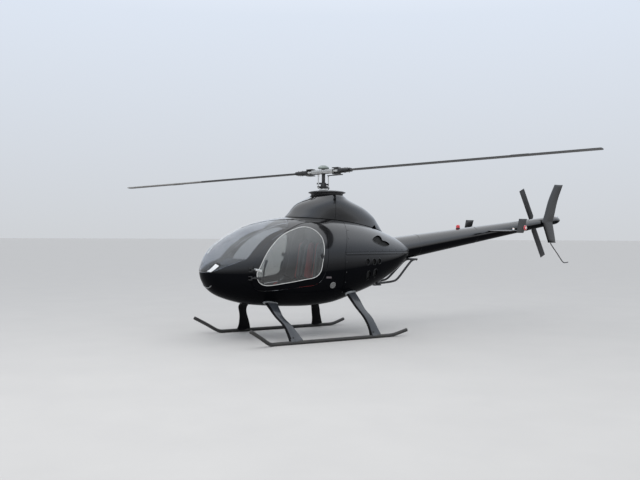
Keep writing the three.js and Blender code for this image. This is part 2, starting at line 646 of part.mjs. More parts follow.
place(machine, 'cabin_shell', cabinShell, blackPaint);
place(machine, 'windshield', windshield, clearPlastic);
place(machine, 'windshield_strip', windshieldStrip, silver);
for (const [side, word] of [[1, 'left'], [-1, 'right']]) {
  place(machine, `door_${word}`, door(side), blackPaint);
  place(machine, `door_window_${word}`, doorWindow(side), clearPlastic);
  place(machine, `seat_cushion_${word}`, seatPad(side), cloth);
  place(machine, `seat_back_${word}`, seatBack(side), cloth);
  place(machine, `skid_${word}`, skid(side, SKID_RADIUS), skidPaint);
  place(machine, `leg_front_${word}`, leg(side, LEG_ROWS.front), legPaint);
  place(machine, `leg_rear_${word}`, leg(side, LEG_ROWS.rear), legPaint);
}
place(machine, 'cabin_floor', floor, trim);
place(machine, 'bulkhead', bulkhead, trim);
place(machine, 'seat_base', seatBase, trim);
place(machine, 'instrument_console', console_, trim);
place(machine, 'cyclic_sticks', cyclicSticks, darkMetal);
place(machine, 'collective_levers', collectiveLevers, darkMetal);
place(machine, 'pedals', pedals, darkMetal);
place(machine, 'engine_block', engine, castAlloy);
place(machine, 'upper_cowl', upperCowl, blackPaint);
place(machine, 'lower_cowl', lowerCowl, blackPaint);
place(machine, 'side_cap', sideCap, castAlloy);
place(machine, 'mast_fairing_front', fairingFront, blackPaint);
place(machine, 'mast_fairing_rear', fairingRear, blackPaint);
place(machine, 'mast_collar', collar, blackPaint);
place(machine, 'tail_boom', tailBoom, blackPaint);
place(machine, 'tail_cap', tailCap, blackPaint);
place(machine, 'tail_gearbox', gearbox, castAlloy);
place(machine, 'fin', fin, blackPaint);
place(machine, 'stinger', stinger, darkMetal);
place(machine, 'stabilizer', stabilizer, blackPaint);
place(machine, 'beacon', beacon, redLens);
place(machine, 'nav_light_port', navPort, redLens);
place(machine, 'nav_light_starboard', navStarboard, greenLens);
place(machine, 'tail_light', tailLight, clearLens);
place(machine, 'boom_braces', braces, darkMetal);
place(machine, 'mast_sleeve', sleeve, darkMetal);
place(machine, 'mast', mast, darkMetal);
place(machine, 'swashplate_and_links', swashplate, darkMetal);

const head = new THREE.Group();
head.position.z = HUB_HEIGHT;
head.rotation.set(0, -TEETER_REST * degrees, BLADE_AZIMUTH * degrees, 'ZYX');
machine.add(head);
place(head, 'rotor_hub', hub, silver);
for (const [turn, number] of [[0, 1], [Math.PI, 2]]) {
  place(head, `blade_grip_${number}`, grip, darkMetal).rotation.z = turn;
  place(head, `main_blade_${number}`, blade, bladePaint).rotation.z = turn;
}

const tailDisc = new THREE.Group();
tailDisc.position.set(tailX, tailY, tailZ);
tailDisc.rotation.y = TAIL_BLADE_LEAN * degrees;
machine.add(tailDisc);
place(tailDisc, 'tail_rotor', tailRotor, bladePaint);

export default machine;
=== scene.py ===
import math

import bmesh
import bpy
import numpy as np
from mathutils import Matrix, Vector
from mathutils.bvhtree import BVHTree
from mathutils.interpolate import poly_3d_calc


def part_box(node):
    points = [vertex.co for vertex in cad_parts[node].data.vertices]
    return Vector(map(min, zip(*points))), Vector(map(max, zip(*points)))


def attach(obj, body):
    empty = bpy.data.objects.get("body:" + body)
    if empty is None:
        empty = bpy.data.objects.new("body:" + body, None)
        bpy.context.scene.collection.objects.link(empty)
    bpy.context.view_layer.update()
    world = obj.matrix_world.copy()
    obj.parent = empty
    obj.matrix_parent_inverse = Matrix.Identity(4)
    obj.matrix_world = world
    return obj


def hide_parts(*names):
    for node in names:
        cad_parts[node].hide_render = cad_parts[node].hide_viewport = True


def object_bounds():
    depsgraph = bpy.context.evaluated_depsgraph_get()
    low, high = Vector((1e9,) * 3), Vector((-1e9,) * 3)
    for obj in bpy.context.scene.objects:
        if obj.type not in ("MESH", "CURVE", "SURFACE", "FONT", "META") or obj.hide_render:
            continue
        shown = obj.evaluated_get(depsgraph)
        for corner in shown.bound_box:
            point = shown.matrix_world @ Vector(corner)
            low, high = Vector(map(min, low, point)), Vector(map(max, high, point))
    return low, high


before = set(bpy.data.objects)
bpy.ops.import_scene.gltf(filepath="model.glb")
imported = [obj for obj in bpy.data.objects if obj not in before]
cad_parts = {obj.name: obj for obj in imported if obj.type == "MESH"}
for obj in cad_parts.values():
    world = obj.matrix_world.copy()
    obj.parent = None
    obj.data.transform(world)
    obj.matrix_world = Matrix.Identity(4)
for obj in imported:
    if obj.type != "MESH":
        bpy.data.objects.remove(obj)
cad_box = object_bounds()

# Camera: a hand-held shot from the port bow at eye height, looking level across the machine.
CAMERA_AT = (7.26441, 9.18833, 1.38768)
CAMERA_LOOK = (-0.52204, -0.85291, -0.00436)
CAMERA_RIGHT = (-0.85292, 0.52203, 0.00425)
CAMERA_UP = (0.00135, -0.00593, 0.99998)
LENS_MM = 42.3826
SENSOR_MM = 36

camera = bpy.data.objects.new("camera", bpy.data.cameras.new("camera"))
camera.data.lens = LENS_MM
camera.data.sensor_width = SENSOR_MM
turn = Matrix((CAMERA_RIGHT, CAMERA_UP, [-value for value in CAMERA_LOOK])).transposed()
camera.matrix_world = Matrix.Translation(CAMERA_AT) @ turn.to_4x4()
bpy.context.scene.collection.objects.link(camera)
bpy.context.scene.camera = camera

# Studio: a wide pale matt floor under an even overcast sky that grows brighter overhead, with one big soft
# light. It isn't part of the machine.
FLOOR_RADII = (0.5, 3, 6, 12, 25, 60, 150, 400)
FLOOR_X = (cad_box[0].x + cad_box[1].x) / 2
FLOOR_SIDES = 96
FLOOR_COLOURS = ((0.428, 0.418, 0.406), (0.448, 0.438, 0.424))
SKY_STOPS = (
    (0.0, (0.43, 0.445, 0.465)), (0.28, (0.50, 0.545, 0.615)), (0.55, (0.80, 0.84, 0.90)),
    (1.0, (0.95, 0.97, 1.0)),
)
SKY_STRENGTH = 1.45
KEY_LIGHT = {"at": (7.0, 5.0, 9.0), "size": 6.0, "watts": 500}
VIEW_REACH = 1000

scene = bpy.context.scene
scene.view_settings.view_transform = "Standard"
camera.data.clip_end = VIEW_REACH
MAST_X = (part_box("mast")[0].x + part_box("mast")[1].x) / 2
FROM_MAST = Matrix.Translation((MAST_X, 0, 0))
HERE = Matrix.Identity(4)


def form(name, points, faces, place=FROM_MAST):
    """A closed mesh from points measured from the foot of the mast, its faces turned outwards."""
    mesh = bpy.data.meshes.new(name)
    mesh.from_pydata([tuple(point) for point in points], [], [tuple(face) for face in faces])
    mesh.transform(place)
    work = bmesh.new()
    work.from_mesh(mesh)
    bmesh.ops.remove_doubles(work, verts=work.verts, dist=1e-6)
    bmesh.ops.recalc_face_normals(work, faces=work.faces)
    work.to_mesh(mesh)
    work.free()
    made = bpy.data.objects.new(name, mesh)
    scene.collection.objects.link(made)
    return made


def lofted(name, rings, place=FROM_MAST, ends=True):
    """A skin over rings of points that all hold the same number of points."""
    count = len(rings[0])
    faces = [
        (r * count + k, r * count + (k + 1) % count, (r + 1) * count + (k + 1) % count, (r + 1) * count + k)
        for r in range(len(rings) - 1)
        for k in range(count)
    ]
    if ends:
        faces += [range(count), range((len(rings) - 1) * count, len(rings) * count)]
    return form(name, [point for ring in rings for point in ring], faces, place)


def circle(count, start=0.0):
    """The cosine and sine of angles spread evenly over a full turn."""
    angles = (2 * math.pi * (k + start) / count for k in range(count))
    return [(math.cos(angle), math.sin(angle)) for angle in angles]


def turned(name, profile, sides=64, place=FROM_MAST, centre=(0, 0)):
    """A piece turned about an upright axis from its closed profile of radius and height."""
    x, y = centre
    count = len(profile)
    faces = []
    for k in range(sides):
        here, after = k * count, (k + 1) % sides * count
        for i in range(count):
            ahead = (i + 1) % count
            faces.append((here + i, here + ahead, after + ahead, after + i))
    return form(name, [(x + r * c, y + r * s, z) for c, s in circle(sides) for r, z in profile], faces, place)


def crease(piece, degrees=35):
    """Shades a piece smooth and keeps its edges sharp where they turn more than the given angle."""
    work = bmesh.new()
    work.from_mesh(piece.data)
    for face in work.faces:
        face.smooth = True
    for edge in work.edges:
        edge.smooth = edge.is_manifold and edge.calc_face_angle(0) < math.radians(degrees)
    work.to_mesh(piece.data)
    work.free()
    return piece


def feed(tree, node, name, value):
    """Sets one input of a shader node, or links it where the value is another node's socket."""
    if isinstance(value, bpy.types.NodeSocket):
        tree.links.new(value, node.inputs[name])
    else:
        node.inputs[name].default_value = value


def add(tree, kind, **settings):
    """Adds a shader node and sets its properties, or feeds its inputs, by name."""
    node = tree.nodes.new("ShaderNode" + kind)
    for key, value in settings.items():
        if hasattr(node, key):
            setattr(node, key, value)
        else:
            feed(tree, node, key.replace("_", " "), value)
    return node


def ramp(tree, source, stops):
    """The colour that a ramp gives for a socket's value, its stops given as place and colour."""
    node = add(tree, "ValToRGB", Fac=source)
    band = node.color_ramp
    while len(band.elements) < len(stops):
        band.elements.new(0.5)
    for element, (place, colour) in zip(band.elements, stops):
        element.position = place
        element.color = (*colour[:3], 1)
    return node.outputs["Color"]


def grey(level):
    """A grey of the given brightness."""
    return (level, level, level, 1)


def finish(name, dark, pale, grain, rough, bump=0.0, bump_grain=None, stretch=(1, 1, 1), **constants):
    """A finish whose colour and roughness wander between two values, with a fine bump over it."""
    material = bpy.data.materials.new(name)
    material.use_nodes = True
    tree = material.node_tree
    shader = tree.nodes["Principled BSDF"]
    for key, value in constants.items():
        feed(tree, shader, key.replace("_", " "), value)
    where = add(tree, "TexCoord").outputs["Object"]
    spread = add(tree, "Mapping", Scale=stretch, Vector=where).outputs["Vector"]
    patches = add(tree, "TexNoise", Scale=grain, Detail=5.0, Roughness=0.6, Vector=spread).outputs["Fac"]
    feed(tree, shader, "Base Color", ramp(tree, patches, ((0.32, dark), (0.68, pale))))
    feed(tree, shader, "Roughness", ramp(tree, patches, ((0.3, grey(rough[0])), (0.7, grey(rough[1])))))
    if bump:
        fine = add(tree, "TexNoise", Scale=bump_grain or grain * 8, Detail=3.0, Vector=spread).outputs["Fac"]
        relief = add(tree, "Bump", Strength=bump, Distance=0.002, Height=fine)
        feed(tree, shader, "Normal", relief.outputs["Normal"])
    return material


def studio():
    """Builds the floor, the sky and the one lamp."""
    rings = [[(FLOOR_X + r * c, r * s, 0) for c, s in circle(FLOOR_SIDES)] for r in FLOOR_RADII]
    floor = lofted("studio_floor", rings, HERE, ends=False)
    centre = form("studio_floor_centre", rings[0], [range(FLOOR_SIDES)], HERE)
    sand = finish("studio_floor", FLOOR_COLOURS[0], FLOOR_COLOURS[1], 1.3, (0.85, 0.95), 0.15, 60)
    for piece in (floor, centre):
        piece.data.materials.append(sand)
    world = bpy.data.worlds.new("studio_sky")
    world.use_nodes = True
    sky = world.node_tree
    height = add(sky, "SeparateXYZ", Vector=add(sky, "TexCoord").outputs["Generated"]).outputs["Z"]
    feed(sky, sky.nodes["Background"], "Color", ramp(sky, height, SKY_STOPS))
    feed(sky, sky.nodes["Background"], "Strength", SKY_STRENGTH)
    scene.world = world
    lamp = bpy.data.lights.new("key_light", "AREA")
    lamp.shape = "DISK"
    lamp.size = KEY_LIGHT["size"]
    lamp.energy = KEY_LIGHT["watts"]
    key = bpy.data.objects.new("key_light", lamp)
    key.location = KEY_LIGHT["at"]
    key.rotation_euler = (Vector((0, 0, 1)) - Vector(KEY_LIGHT["at"])).to_track_quat("-Z", "Y").to_euler()
    key.visible_glossy = False
    scene.collection.objects.link(key)


studio()

# Cabin shell: the moulded fibreglass pod in front of the cowls, one shell with openings for the windshield
# and the two doors, sprayed gloss black outside and lined with dark fabric inside.

# Sections from nose to tail, from the mast: station, top, bottom, half width, height of the widest point,
# and how square the upper and lower halves are, 2 being an ellipse.
POD_ROWS = np.array([
    (1.861, 0.940, 0.940, 0.000, 0.940, 2.0, 2.0),
    (1.830, 1.060, 0.790, 0.165, 0.930, 2.0, 2.0),
    (1.740, 1.215, 0.662, 0.290, 0.925, 2.0, 2.0),
    (1.574, 1.352, 0.570, 0.392, 0.930, 2.0, 2.1),
    (1.290, 1.507, 0.486, 0.480, 0.940, 2.0, 2.2),
    (0.980, 1.603, 0.446, 0.533, 0.955, 2.1, 2.3),
    (0.640, 1.655, 0.425, 0.556, 0.970, 2.2, 2.4),
    (0.300, 1.680, 0.420, 0.560, 0.985, 2.3, 2.4),
    (-0.050, 1.675, 0.450, 0.545, 1.000, 2.3, 2.3),
    (-0.400, 1.635, 0.545, 0.500, 1.020, 2.2, 2.2),
    (-0.750, 1.552, 0.655, 0.435, 1.050, 2.1, 2.1),
    (-1.050, 1.448, 0.788, 0.350, 1.090, 2.0, 2.0),
    (-1.280, 1.356, 0.936, 0.262, 1.140, 2.0, 2.0),
    (-1.440, 1.272, 1.072, 0.165, 1.180, 2.0, 2.0),
])
POD_STEPS = 6
POD_SIDES = 96
WALL = 0.018
GLASS = 0.006
SEAM = 0.0005
# Further out than any part of the pod, and how near and how parallel a face on its smooth form has to be
BEYOND = 0.7
SKIN_REACH, SAME_WAY = 0.0048, 0.94
# Side-view outlines: station, height
DOOR_OUTLINE = (
    (1.362, 0.830), (1.362, 0.940), (1.318, 1.050), (1.232, 1.180), (1.125, 1.290), (1.000, 1.375),
    (0.865, 1.442), (0.690, 1.518), (0.560, 1.565), (0.400, 1.588), (0.300, 1.582), (0.232, 1.545),
    (0.210, 1.490), (0.228, 1.400), (0.240, 1.230), (0.262, 1.050), (0.300, 0.900), (0.350, 0.800),
    (0.430, 0.745), (0.640, 0.715), (0.900, 0.690), (1.150, 0.672), (1.270, 0.690), (1.340, 0.750),
)
WINDSHIELD_LOWER = (
    (1.960, 0.905), (1.850, 0.915), (1.760, 0.952), (1.690, 0.988), (1.550, 1.045), (1.425, 1.090),
)
WINDSHIELD_REAR = (
    (1.400, 1.112), (1.297, 1.225), (1.198, 1.315), (1.075, 1.400), (0.920, 1.466), (0.790, 1.506),
)
WINDSHIELD_TOP = ((0.768, 1.522), (0.718, 1.585), (0.690, 1.640), (0.690, 1.800), (1.960, 1.800))
COWL_SEAM = ((-0.020, 1.130), (-0.170, 1.620))
JOINT = 0.0024
# How far the face looks up, share of the shine that is left: painted shade dims what faces down
POD_SHINE_AND_SHADE = ((-0.06, 0.02), (0.08, 0.55), (0.40, 0.90), (0.75, 1.0))
TOP_SHINE_AND_SHADE = ((-0.14, 0.02), (0.00, 0.90), (0.20, 1.0))
FULL_COAT, FULL_GLOSS = 1.0, 0.50


DUST = (0.32, 0.30, 0.27, 1)


def product(tree, *factors):
    """Two sockets' values multiplied."""
    node = add(tree, "Math", operation="MULTIPLY")
    for place, factor in enumerate(factors):
        tree.links.new(factor, node.inputs[place])
    return node.outputs["Value"]


def remapped(tree, value, first, last):
    """A socket's value carried from one range to another, each end given as the value before and after."""
    node = add(
        tree, "MapRange", Value=value, From_Min=first[0], From_Max=last[0], To_Min=first[1], To_Max=last[1],
    )
    return node.outputs["Result"]


def gloss_black(name, shine_and_shade_rows, coat_index):
    """Polished black with faint orange peel and dust on what faces up. Painted shade dulls its gloss
    underneath.
    """
    coat = finish(
        name, (0.0022, 0.0024, 0.0032), (0.0034, 0.0036, 0.0046), 2.2, (0.10, 0.20), 0.012, 380,
        Coat_Roughness=0.04, Coat_IOR=coat_index,
    )
    tree = coat.node_tree
    shader = tree.nodes["Principled BSDF"]
    under = shader.inputs["Base Color"].links[0].from_socket
    up = add(tree, "SeparateXYZ", Vector=add(tree, "NewGeometry").outputs["Normal"]).outputs["Z"]
    where = add(tree, "TexCoord").outputs["Object"]
    specks = add(tree, "TexNoise", Scale=9.0, Detail=8.0, Roughness=0.75, Vector=where).outputs["Fac"]
    amount = ramp(tree, product(tree, up, specks), ((0.25, grey(0.0)), (0.9, grey(0.05))))
    dust = add(tree, "Mix", data_type="RGBA", Factor=amount, A=under, B=DUST)
    feed(tree, shader, "Base Color", dust.outputs["Result"])
    first, last = shine_and_shade_rows[0][0], shine_and_shade_rows[-1][0]
    level = remapped(tree, up, (first, 0.0), (last, 1.0))
    for socket, full in (("Coat Weight", FULL_COAT), ("Specular IOR Level", FULL_GLOSS)):
        stops = [((tilt - first) / (last - first), grey(share * full)) for tilt, share in shine_and_shade_rows]
        feed(tree, shader, socket, ramp(tree, level, stops))
    return coat


BLACK_PAINT = gloss_black("black_gloss_paint", POD_SHINE_AND_SHADE, 1.5)
# The fairing, boom and tail take a lit copy of the same paint: a stronger coat and less painted shade, as a
# painted sheen
HIGH_LIT_PAINT = gloss_black("black_gloss_paint_high_lit", TOP_SHINE_AND_SHADE, 1.62)
LINING = finish("cabin_lining", (0.030, 0.029, 0.028), (0.045, 0.043, 0.041), 30, (0.8, 0.95), 0.4, 700)


def pod_row(position):
    """The pod's section at a place along the table, run through the rows by a smooth curve."""
    first = POD_ROWS[1].copy()
    first[1:4] = 2 * POD_ROWS[0][1:4] - first[1:4]
    rows = np.vstack([first, POD_ROWS, 2 * POD_ROWS[-1] - POD_ROWS[-2]])
    span = min(int(position), len(POD_ROWS) - 2)
    t = position - span
    a, b, c, d = rows[span:span + 4]
    return 0.5 * (
        2 * b + (c - a) * t + (2 * a - 5 * b + 4 * c - d) * t ** 2 + (3 * b - a - 3 * c + d) * t ** 3
    )


def pod_points():
    """The pod's skin as rings of points from nose to tail, with the way out of the skin at each point."""
    rings = []
    for i in range((len(POD_ROWS) - 1) * POD_STEPS + 1):
        # The first sections crowd towards the nose, so that its round end stays round.
        position = i / POD_STEPS if i > POD_STEPS else (i / POD_STEPS) ** 2
        station, top, bottom, half, waist, upper, lower = pod_row(position)
        ring = []
        for c, s in circle(POD_SIDES):
            power, height = (2 / upper, top - waist) if s >= 0 else (2 / lower, waist - bottom)
            y = half * math.copysign(abs(c) ** power, c)
            ring.append((station, y, waist + height * math.copysign(abs(s) ** power, s)))
        rings.append(ring)
    points = np.array(rings)
    along = np.gradient(points, axis=0)
    around = np.roll(points, -1, axis=1) - np.roll(points, 1, axis=1)
    out = np.cross(along, around)
    out[0] = (1, 0, 0)
    return points, out / np.linalg.norm(out, axis=2, keepdims=True)


POD_POINTS, POD_OUT = pod_points()


def pod_form(name, inset):
    """The whole pod with its surface moved inwards by a distance."""
    return lofted(name, list(POD_POINTS - inset * POD_OUT))


def curve_through(points, steps, closed=True):
    """A smooth line through points, its bends kept tight where they stand close together."""
    points = [Vector(point) for point in points]
    count = len(points)
    if not closed:
        points = [2 * points[0] - points[1], *points, 2 * points[-1] - points[-2]]
    line = []
    for i in range(count if closed else count - 1):
        a, b, c, d = (points[(i + k - 1) % count] if closed else points[i + k] for k in range(4))
        gaps = [max((q - p).length ** 0.5, 1e-5) for p, q in ((a, b), (b, c), (c, d))]
        out = ((b - a) / gaps[0] - (c - a) / (gaps[0] + gaps[1]) + (c - b) / gaps[1]) * gaps[1]
        into = ((c - b) / gaps[1] - (d - b) / (gaps[1] + gaps[2]) + (d - c) / gaps[2]) * gaps[1]
        for k in range(steps):
            t = k / steps
            line.append(
                b * (2 * t ** 3 - 3 * t ** 2 + 1) + out * (t ** 3 - 2 * t ** 2 + t)
                + c * (3 * t ** 2 - 2 * t ** 3) + into * (t ** 3 - t ** 2)
            )
    return line if closed else line + [points[-2]]


def shrink(outline, distance):
    """Moves a closed side-view outline inwards."""
    area = sum(a[0] * b[1] - b[0] * a[1] for a, b in zip(outline, [*outline[1:], outline[0]]))
    sign = math.copysign(distance, area)
    moved = []
    for i, point in enumerate(outline):
        run = (Vector(outline[(i + 1) % len(outline)]) - Vector(outline[i - 1])).normalized()
        moved.append((point[0] - sign * run[1], point[1] + sign * run[0]))
    return moved


def across(name, outline, y0, y1):
    """A side-view outline carried across the machine, used to trim the pod's panels."""
    count = len(outline)
    points = [(x, y, z) for y in (y0, y1) for x, z in outline]
    sides = [(k, (k + 1) % count, (k + 1) % count + count, k + count) for k in range(count)]
    return form(name, points, [range(count), range(count, 2 * count), *sides])


def oblong(x0, z0, x1, z1):
    """The side-view outline of an upright rectangle."""
    return (x0, z0), (x1, z0), (x1, z1), (x0, z1)


def box_form(name, low, high, place=FROM_MAST):
    """A plain box between two corners."""
    points = [(x, y, z) for x in (low[0], high[0]) for y in (low[1], high[1]) for z in (low[2], high[2])]
    faces = [(0, 1, 3, 2), (4, 6, 7, 5), (0, 4, 5, 1), (2, 3, 7, 6), (0, 2, 6, 4), (1, 5, 7, 3)]
    return form(name, points, faces, place)


def copy_of(piece, name):
    """A second piece with a mesh of its own."""
    made = bpy.data.objects.new(name, piece.data.copy())
    scene.collection.objects.link(made)
    return made


def baked(piece):
    """Turns a piece's modifiers into its mesh."""
    graph = bpy.context.evaluated_depsgraph_get()
    done = bpy.data.meshes.new_from_object(piece.evaluated_get(graph))
    piece.modifiers.clear()
    piece.data = done
    return piece


def trim(piece, tool, how="DIFFERENCE", keep=False):
    """Cuts a piece with another form, which is then thrown away unless it is kept."""
    step = piece.modifiers.new("trim", "BOOLEAN")
    step.operation = how
    step.solver = "MANIFOLD"
    step.object = tool
    baked(piece)
    if not keep:
        bpy.data.objects.remove(tool)
    return piece


def cut_out(piece, outline, y0=-BEYOND, y1=BEYOND):
    """Cuts a side-view outline out of a piece."""
    return trim(piece, across("cut_out", outline, y0, y1))


def keep_in(piece, outline, y0=-BEYOND, y1=BEYOND):
    """Keeps only what a piece has inside a side-view outline."""
    return trim(piece, across("keep_in", outline, y0, y1), "INTERSECT")


def guide_of(smooth):
    """A smooth form's faces, kept for finding places on it."""
    mesh = smooth.data
    return BVHTree.FromPolygons([v.co for v in mesh.vertices], [p.vertices for p in mesh.polygons]), mesh


def way_out(guide, point, reach=BEYOND):
    """A smooth form's outward direction at the place nearest to a point, if that place is within reach."""
    tree, mesh = guide
    near, _, face, _ = tree.find_nearest(point, reach)
    if near is None:
        return None
    ring = mesh.polygons[face].vertices
    shares = poly_3d_calc([mesh.vertices[i].co for i in ring], near)
    return sum((mesh.vertices[i].normal * s for i, s in zip(ring, shares)), Vector()).normalized()


def shade_like(piece, *forms):
    """Shades the faces that lie on the given smooth forms as those forms are, and leaves cut edges crisp."""
    guides = [guide_of(smooth) for smooth in forms]
    mesh = piece.data
    normals = [Vector(polygon.normal) for polygon in mesh.polygons for _ in polygon.loop_indices]
    for polygon in mesh.polygons:
        for guide in guides:
            spot, normal, _, _ = guide[0].find_nearest(polygon.center, SKIN_REACH)
            if spot is None or abs(normal.dot(polygon.normal)) < SAME_WAY:
                continue
            found = [way_out(guide, mesh.vertices[i].co, SKIN_REACH) for i in polygon.vertices]
            if all(out is not None for out in found):
                for loop, out in zip(polygon.loop_indices, found):
                    normals[loop] = out * math.copysign(1, out.dot(polygon.normal))
                break
    for polygon in mesh.polygons:
        polygon.use_smooth = True
    mesh.normals_split_custom_set(normals)
    return piece


def paint(piece, *materials):
    """Gives a piece these materials in place of any others."""
    piece.data.materials.clear()
    for material in materials:
        piece.data.materials.append(material)


def paint_two(piece, first, second, takes_second):
    """Paints a piece's faces with one material, or with another where a test of the face says so."""
    paint(piece, first, second)
    for polygon in piece.data.polygons:
        polygon.material_index = 1 if takes_second(polygon) else 0


def two_sided(piece, inner, outside, inside):
    """Gives the faces that lie on the inner form one material, and the rest another."""
    lining = guide_of(inner)[0]
    paint_two(piece, outside, inside, lambda face: lining.find_nearest(face.center, 0.003)[0] is not None)


pod_outer = pod_form("pod_outer", 0)
pod_inner = pod_form("pod_inner", WALL)
pod_glass = pod_form("pod_glass", GLASS)
pod_cover = pod_form("pod_cover", -SEAM)
pod_forms = (pod_outer, pod_inner, pod_glass, pod_cover)
pod_skin = trim(copy_of(pod_outer, "pod_skin"), pod_inner, keep=True)
trim(pod_skin, box_form("tail_trim", (-1.50, -0.4, 0.8), (-1.428, 0.4, 1.5)))
door_curve = curve_through(DOOR_OUTLINE, 5)
windshield_curve = [
    *curve_through(WINDSHIELD_LOWER, 6, closed=False), *curve_through(WINDSHIELD_REAR, 6, closed=False),
    *WINDSHIELD_TOP,
]


def behind_seam(name, shift):
    """The space behind the joint between the cabin and the cowls."""
    (low_x, low_z), (high_x, high_z) = COWL_SEAM
    edge = ((low_x - shift, 0.3), (low_x - shift, low_z), (high_x - shift, high_z), (high_x - shift, 1.9))
    return across(name, (*edge, (-1.7, 1.9), (-1.7, 0.3)), -BEYOND, BEYOND)


cabin_shell = copy_of(pod_skin, "cabin_shell_panel")
trim(cabin_shell, behind_seam("seam_trim", -JOINT))
cut_out(cabin_shell, windshield_curve)
cut_out(cabin_shell, door_curve)
shade_like(cabin_shell, pod_outer, pod_inner)
two_sided(cabin_shell, pod_inner, BLACK_PAINT, LINING)
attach(cabin_shell, "airframe")
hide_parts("cabin_shell")


SIDES = ((1, "left"), (-1, "right"))


def fit(piece, material, body, slot, *nodes):
    """Gives a piece its finish, the body it rides on, and the solids that it stands for; its slot is not
    used.
    """
    if material:
        paint(piece, material)
    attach(piece, body)
    if nodes:
        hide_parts(*nodes)
    return piece


# Windshield: one bubble of blown clear plastic bonded into the shell and run up over the heads of the crew,
# with a bright metal strip down its middle. The nose round it carries a slanted lamp window low on each side
# and a thin moulded lip underneath.
CLEAR_TINT = (0.70, 0.72, 0.755, 1)
CLEAR_HAZE_AND_SHEEN = ((0.35, 0.02), (0.75, 0.055))
HAZE_AND_SHEEN_BY_SLOPE = ((0.0, 0.3), (0.6, 2.0))
BOTH_FACES = 1.4
FILM_AND_SHEEN_COLOUR = (0.72, 0.74, 0.74, 1)
OUTSIDE = 1.2
BEAD_SINK = 0.001
STRIP_FROM, STRIP_TO = 1.78, 0.70
STRIP_WIDTH, STRIP_HEIGHT = 0.022, 0.004
LIP_HALF_WIDTH, LIP_HEIGHT, LIP_RISE = 0.135, 0.711, 0.036
LAMP_BAR = ((1.845, 0.934), (1.819, 0.925), (1.741, 1.008), (1.771, 1.034))
LAMP_FRAME = ((1.850, 0.934), (1.817, 0.916), (1.728, 1.006), (1.716, 1.020), (1.750, 1.050), (1.778, 1.040))


def mixed(tree, share, first, second):
    """Two shaders mixed by a share."""
    node = add(tree, "MixShader", Fac=share)
    tree.links.new(first, node.inputs[1])
    tree.links.new(second, node.inputs[2])
    return node.outputs["Shader"]


def clear_plastic(name, tint, haze_and_sheen):
    """Clear sheet: seen through head on, mirror-like at a slant, with a pale film on what faces up, partly
    dust and partly a painted sky reflection.
    """
    material = bpy.data.materials.new(name)
    material.use_nodes = True
    tree = material.node_tree
    tree.nodes.remove(tree.nodes["Principled BSDF"])
    see = add(tree, "BsdfTransparent", Color=tint).outputs["BSDF"]
    gloss = add(tree, "BsdfGlossy", Color=grey(1), Roughness=0.03).outputs["BSDF"]
    film_and_sheen = add(tree, "BsdfDiffuse", Color=FILM_AND_SHEEN_COLOUR).outputs["BSDF"]
    slant = add(tree, "Fresnel", IOR=1.52).outputs["Fac"]
    facing = add(tree, "NewGeometry")
    # What both faces of the sheet mirror is shown at the one that the light meets first.
    entering = remapped(tree, facing.outputs["Backfacing"], (0.0, BOTH_FACES), (1.0, 0.0))
    sheet = mixed(tree, product(tree, slant, entering), see, gloss)
    where = add(tree, "TexCoord").outputs["Object"]
    smears = add(tree, "TexNoise", Scale=5.0, Detail=6.0, Roughness=0.7, Vector=where).outputs["Fac"]
    amount = ramp(tree, smears, [(place, grey(share)) for place, share in haze_and_sheen])
    # The pale film grows on what faces up: partly dust, partly a painted reflection of the bright sky
    up = add(tree, "SeparateXYZ", Vector=facing.outputs["Normal"]).outputs["Z"]
    settled_and_sheen = remapped(tree, up, *HAZE_AND_SHEEN_BY_SLOPE)
    sheet = mixed(tree, product(tree, amount, settled_and_sheen), sheet, film_and_sheen)
    tree.links.new(sheet, tree.nodes["Material Output"].inputs["Surface"])
    return material


def struck(guide, start, way):
    """The point where a line from a place meets a form, and the way out of the form there."""
    hit = guide[0].ray_cast(Vector(start), Vector(way))[0]
    return (hit, way_out(guide, hit)) if hit else None


def on_skin(guide, x, z, side):
    """The point of a form straight in from the side at a station and height, and the way out there."""
    return struck(guide, (x + MAST_X, side * OUTSIDE, z), (0, -side, 0))


def ribbon(name, spots, width, height, closed=False):
    """A narrow bead laid along spots on a form, each spot a point and the way out there."""
    rings = []
    count = len(spots)
    for i, (point, out) in enumerate(spots):
        ahead = spots[(i + 1) % count if closed else min(i + 1, count - 1)][0]
        behind = spots[i - 1 if closed or i else 0][0]
        side = (ahead - behind).normalized().cross(out).normalized() * width / 2
        rings.append([
            point + side * wide + out * high
            for wide, high in (
                (-1, -BEAD_SINK), (-0.92, height * 0.6), (-0.5, height), (0.5, height),
                (0.92, height * 0.6), (1, -BEAD_SINK),
            )
        ])
    return crease(lofted(name, [*rings, rings[0]] if closed else rings, HERE, ends=not closed), 50)


outer_guide = guide_of(pod_outer)
CLEAR_PLASTIC = clear_plastic("windshield_clear", CLEAR_TINT, CLEAR_HAZE_AND_SHEEN)
BRIGHT_METAL = finish(
    "polished_alloy", (0.55, 0.55, 0.54), (0.74, 0.74, 0.72), 40, (0.16, 0.34), 0.03, 500, Metallic=1.0,
)
glass_skin = trim(copy_of(pod_outer, "glass_skin"), pod_glass, keep=True)
bubble = copy_of(glass_skin, "windshield_bubble")
keep_in(bubble, shrink(windshield_curve, SEAM))
shade_like(bubble, pod_outer, pod_glass)
fit(bubble, CLEAR_PLASTIC, "airframe", "windshield_clear", "windshield")
strip_line = [
    struck(outer_guide, (MAST_X + station, 0, 2.2), (0, 0, -1))
    for station in np.linspace(STRIP_FROM, STRIP_TO, 61)
]
strip = ribbon("windshield_middle_strip", strip_line, STRIP_WIDTH, STRIP_HEIGHT)
fit(strip, BRIGHT_METAL, "airframe", "seam_strip", "windshield_strip")
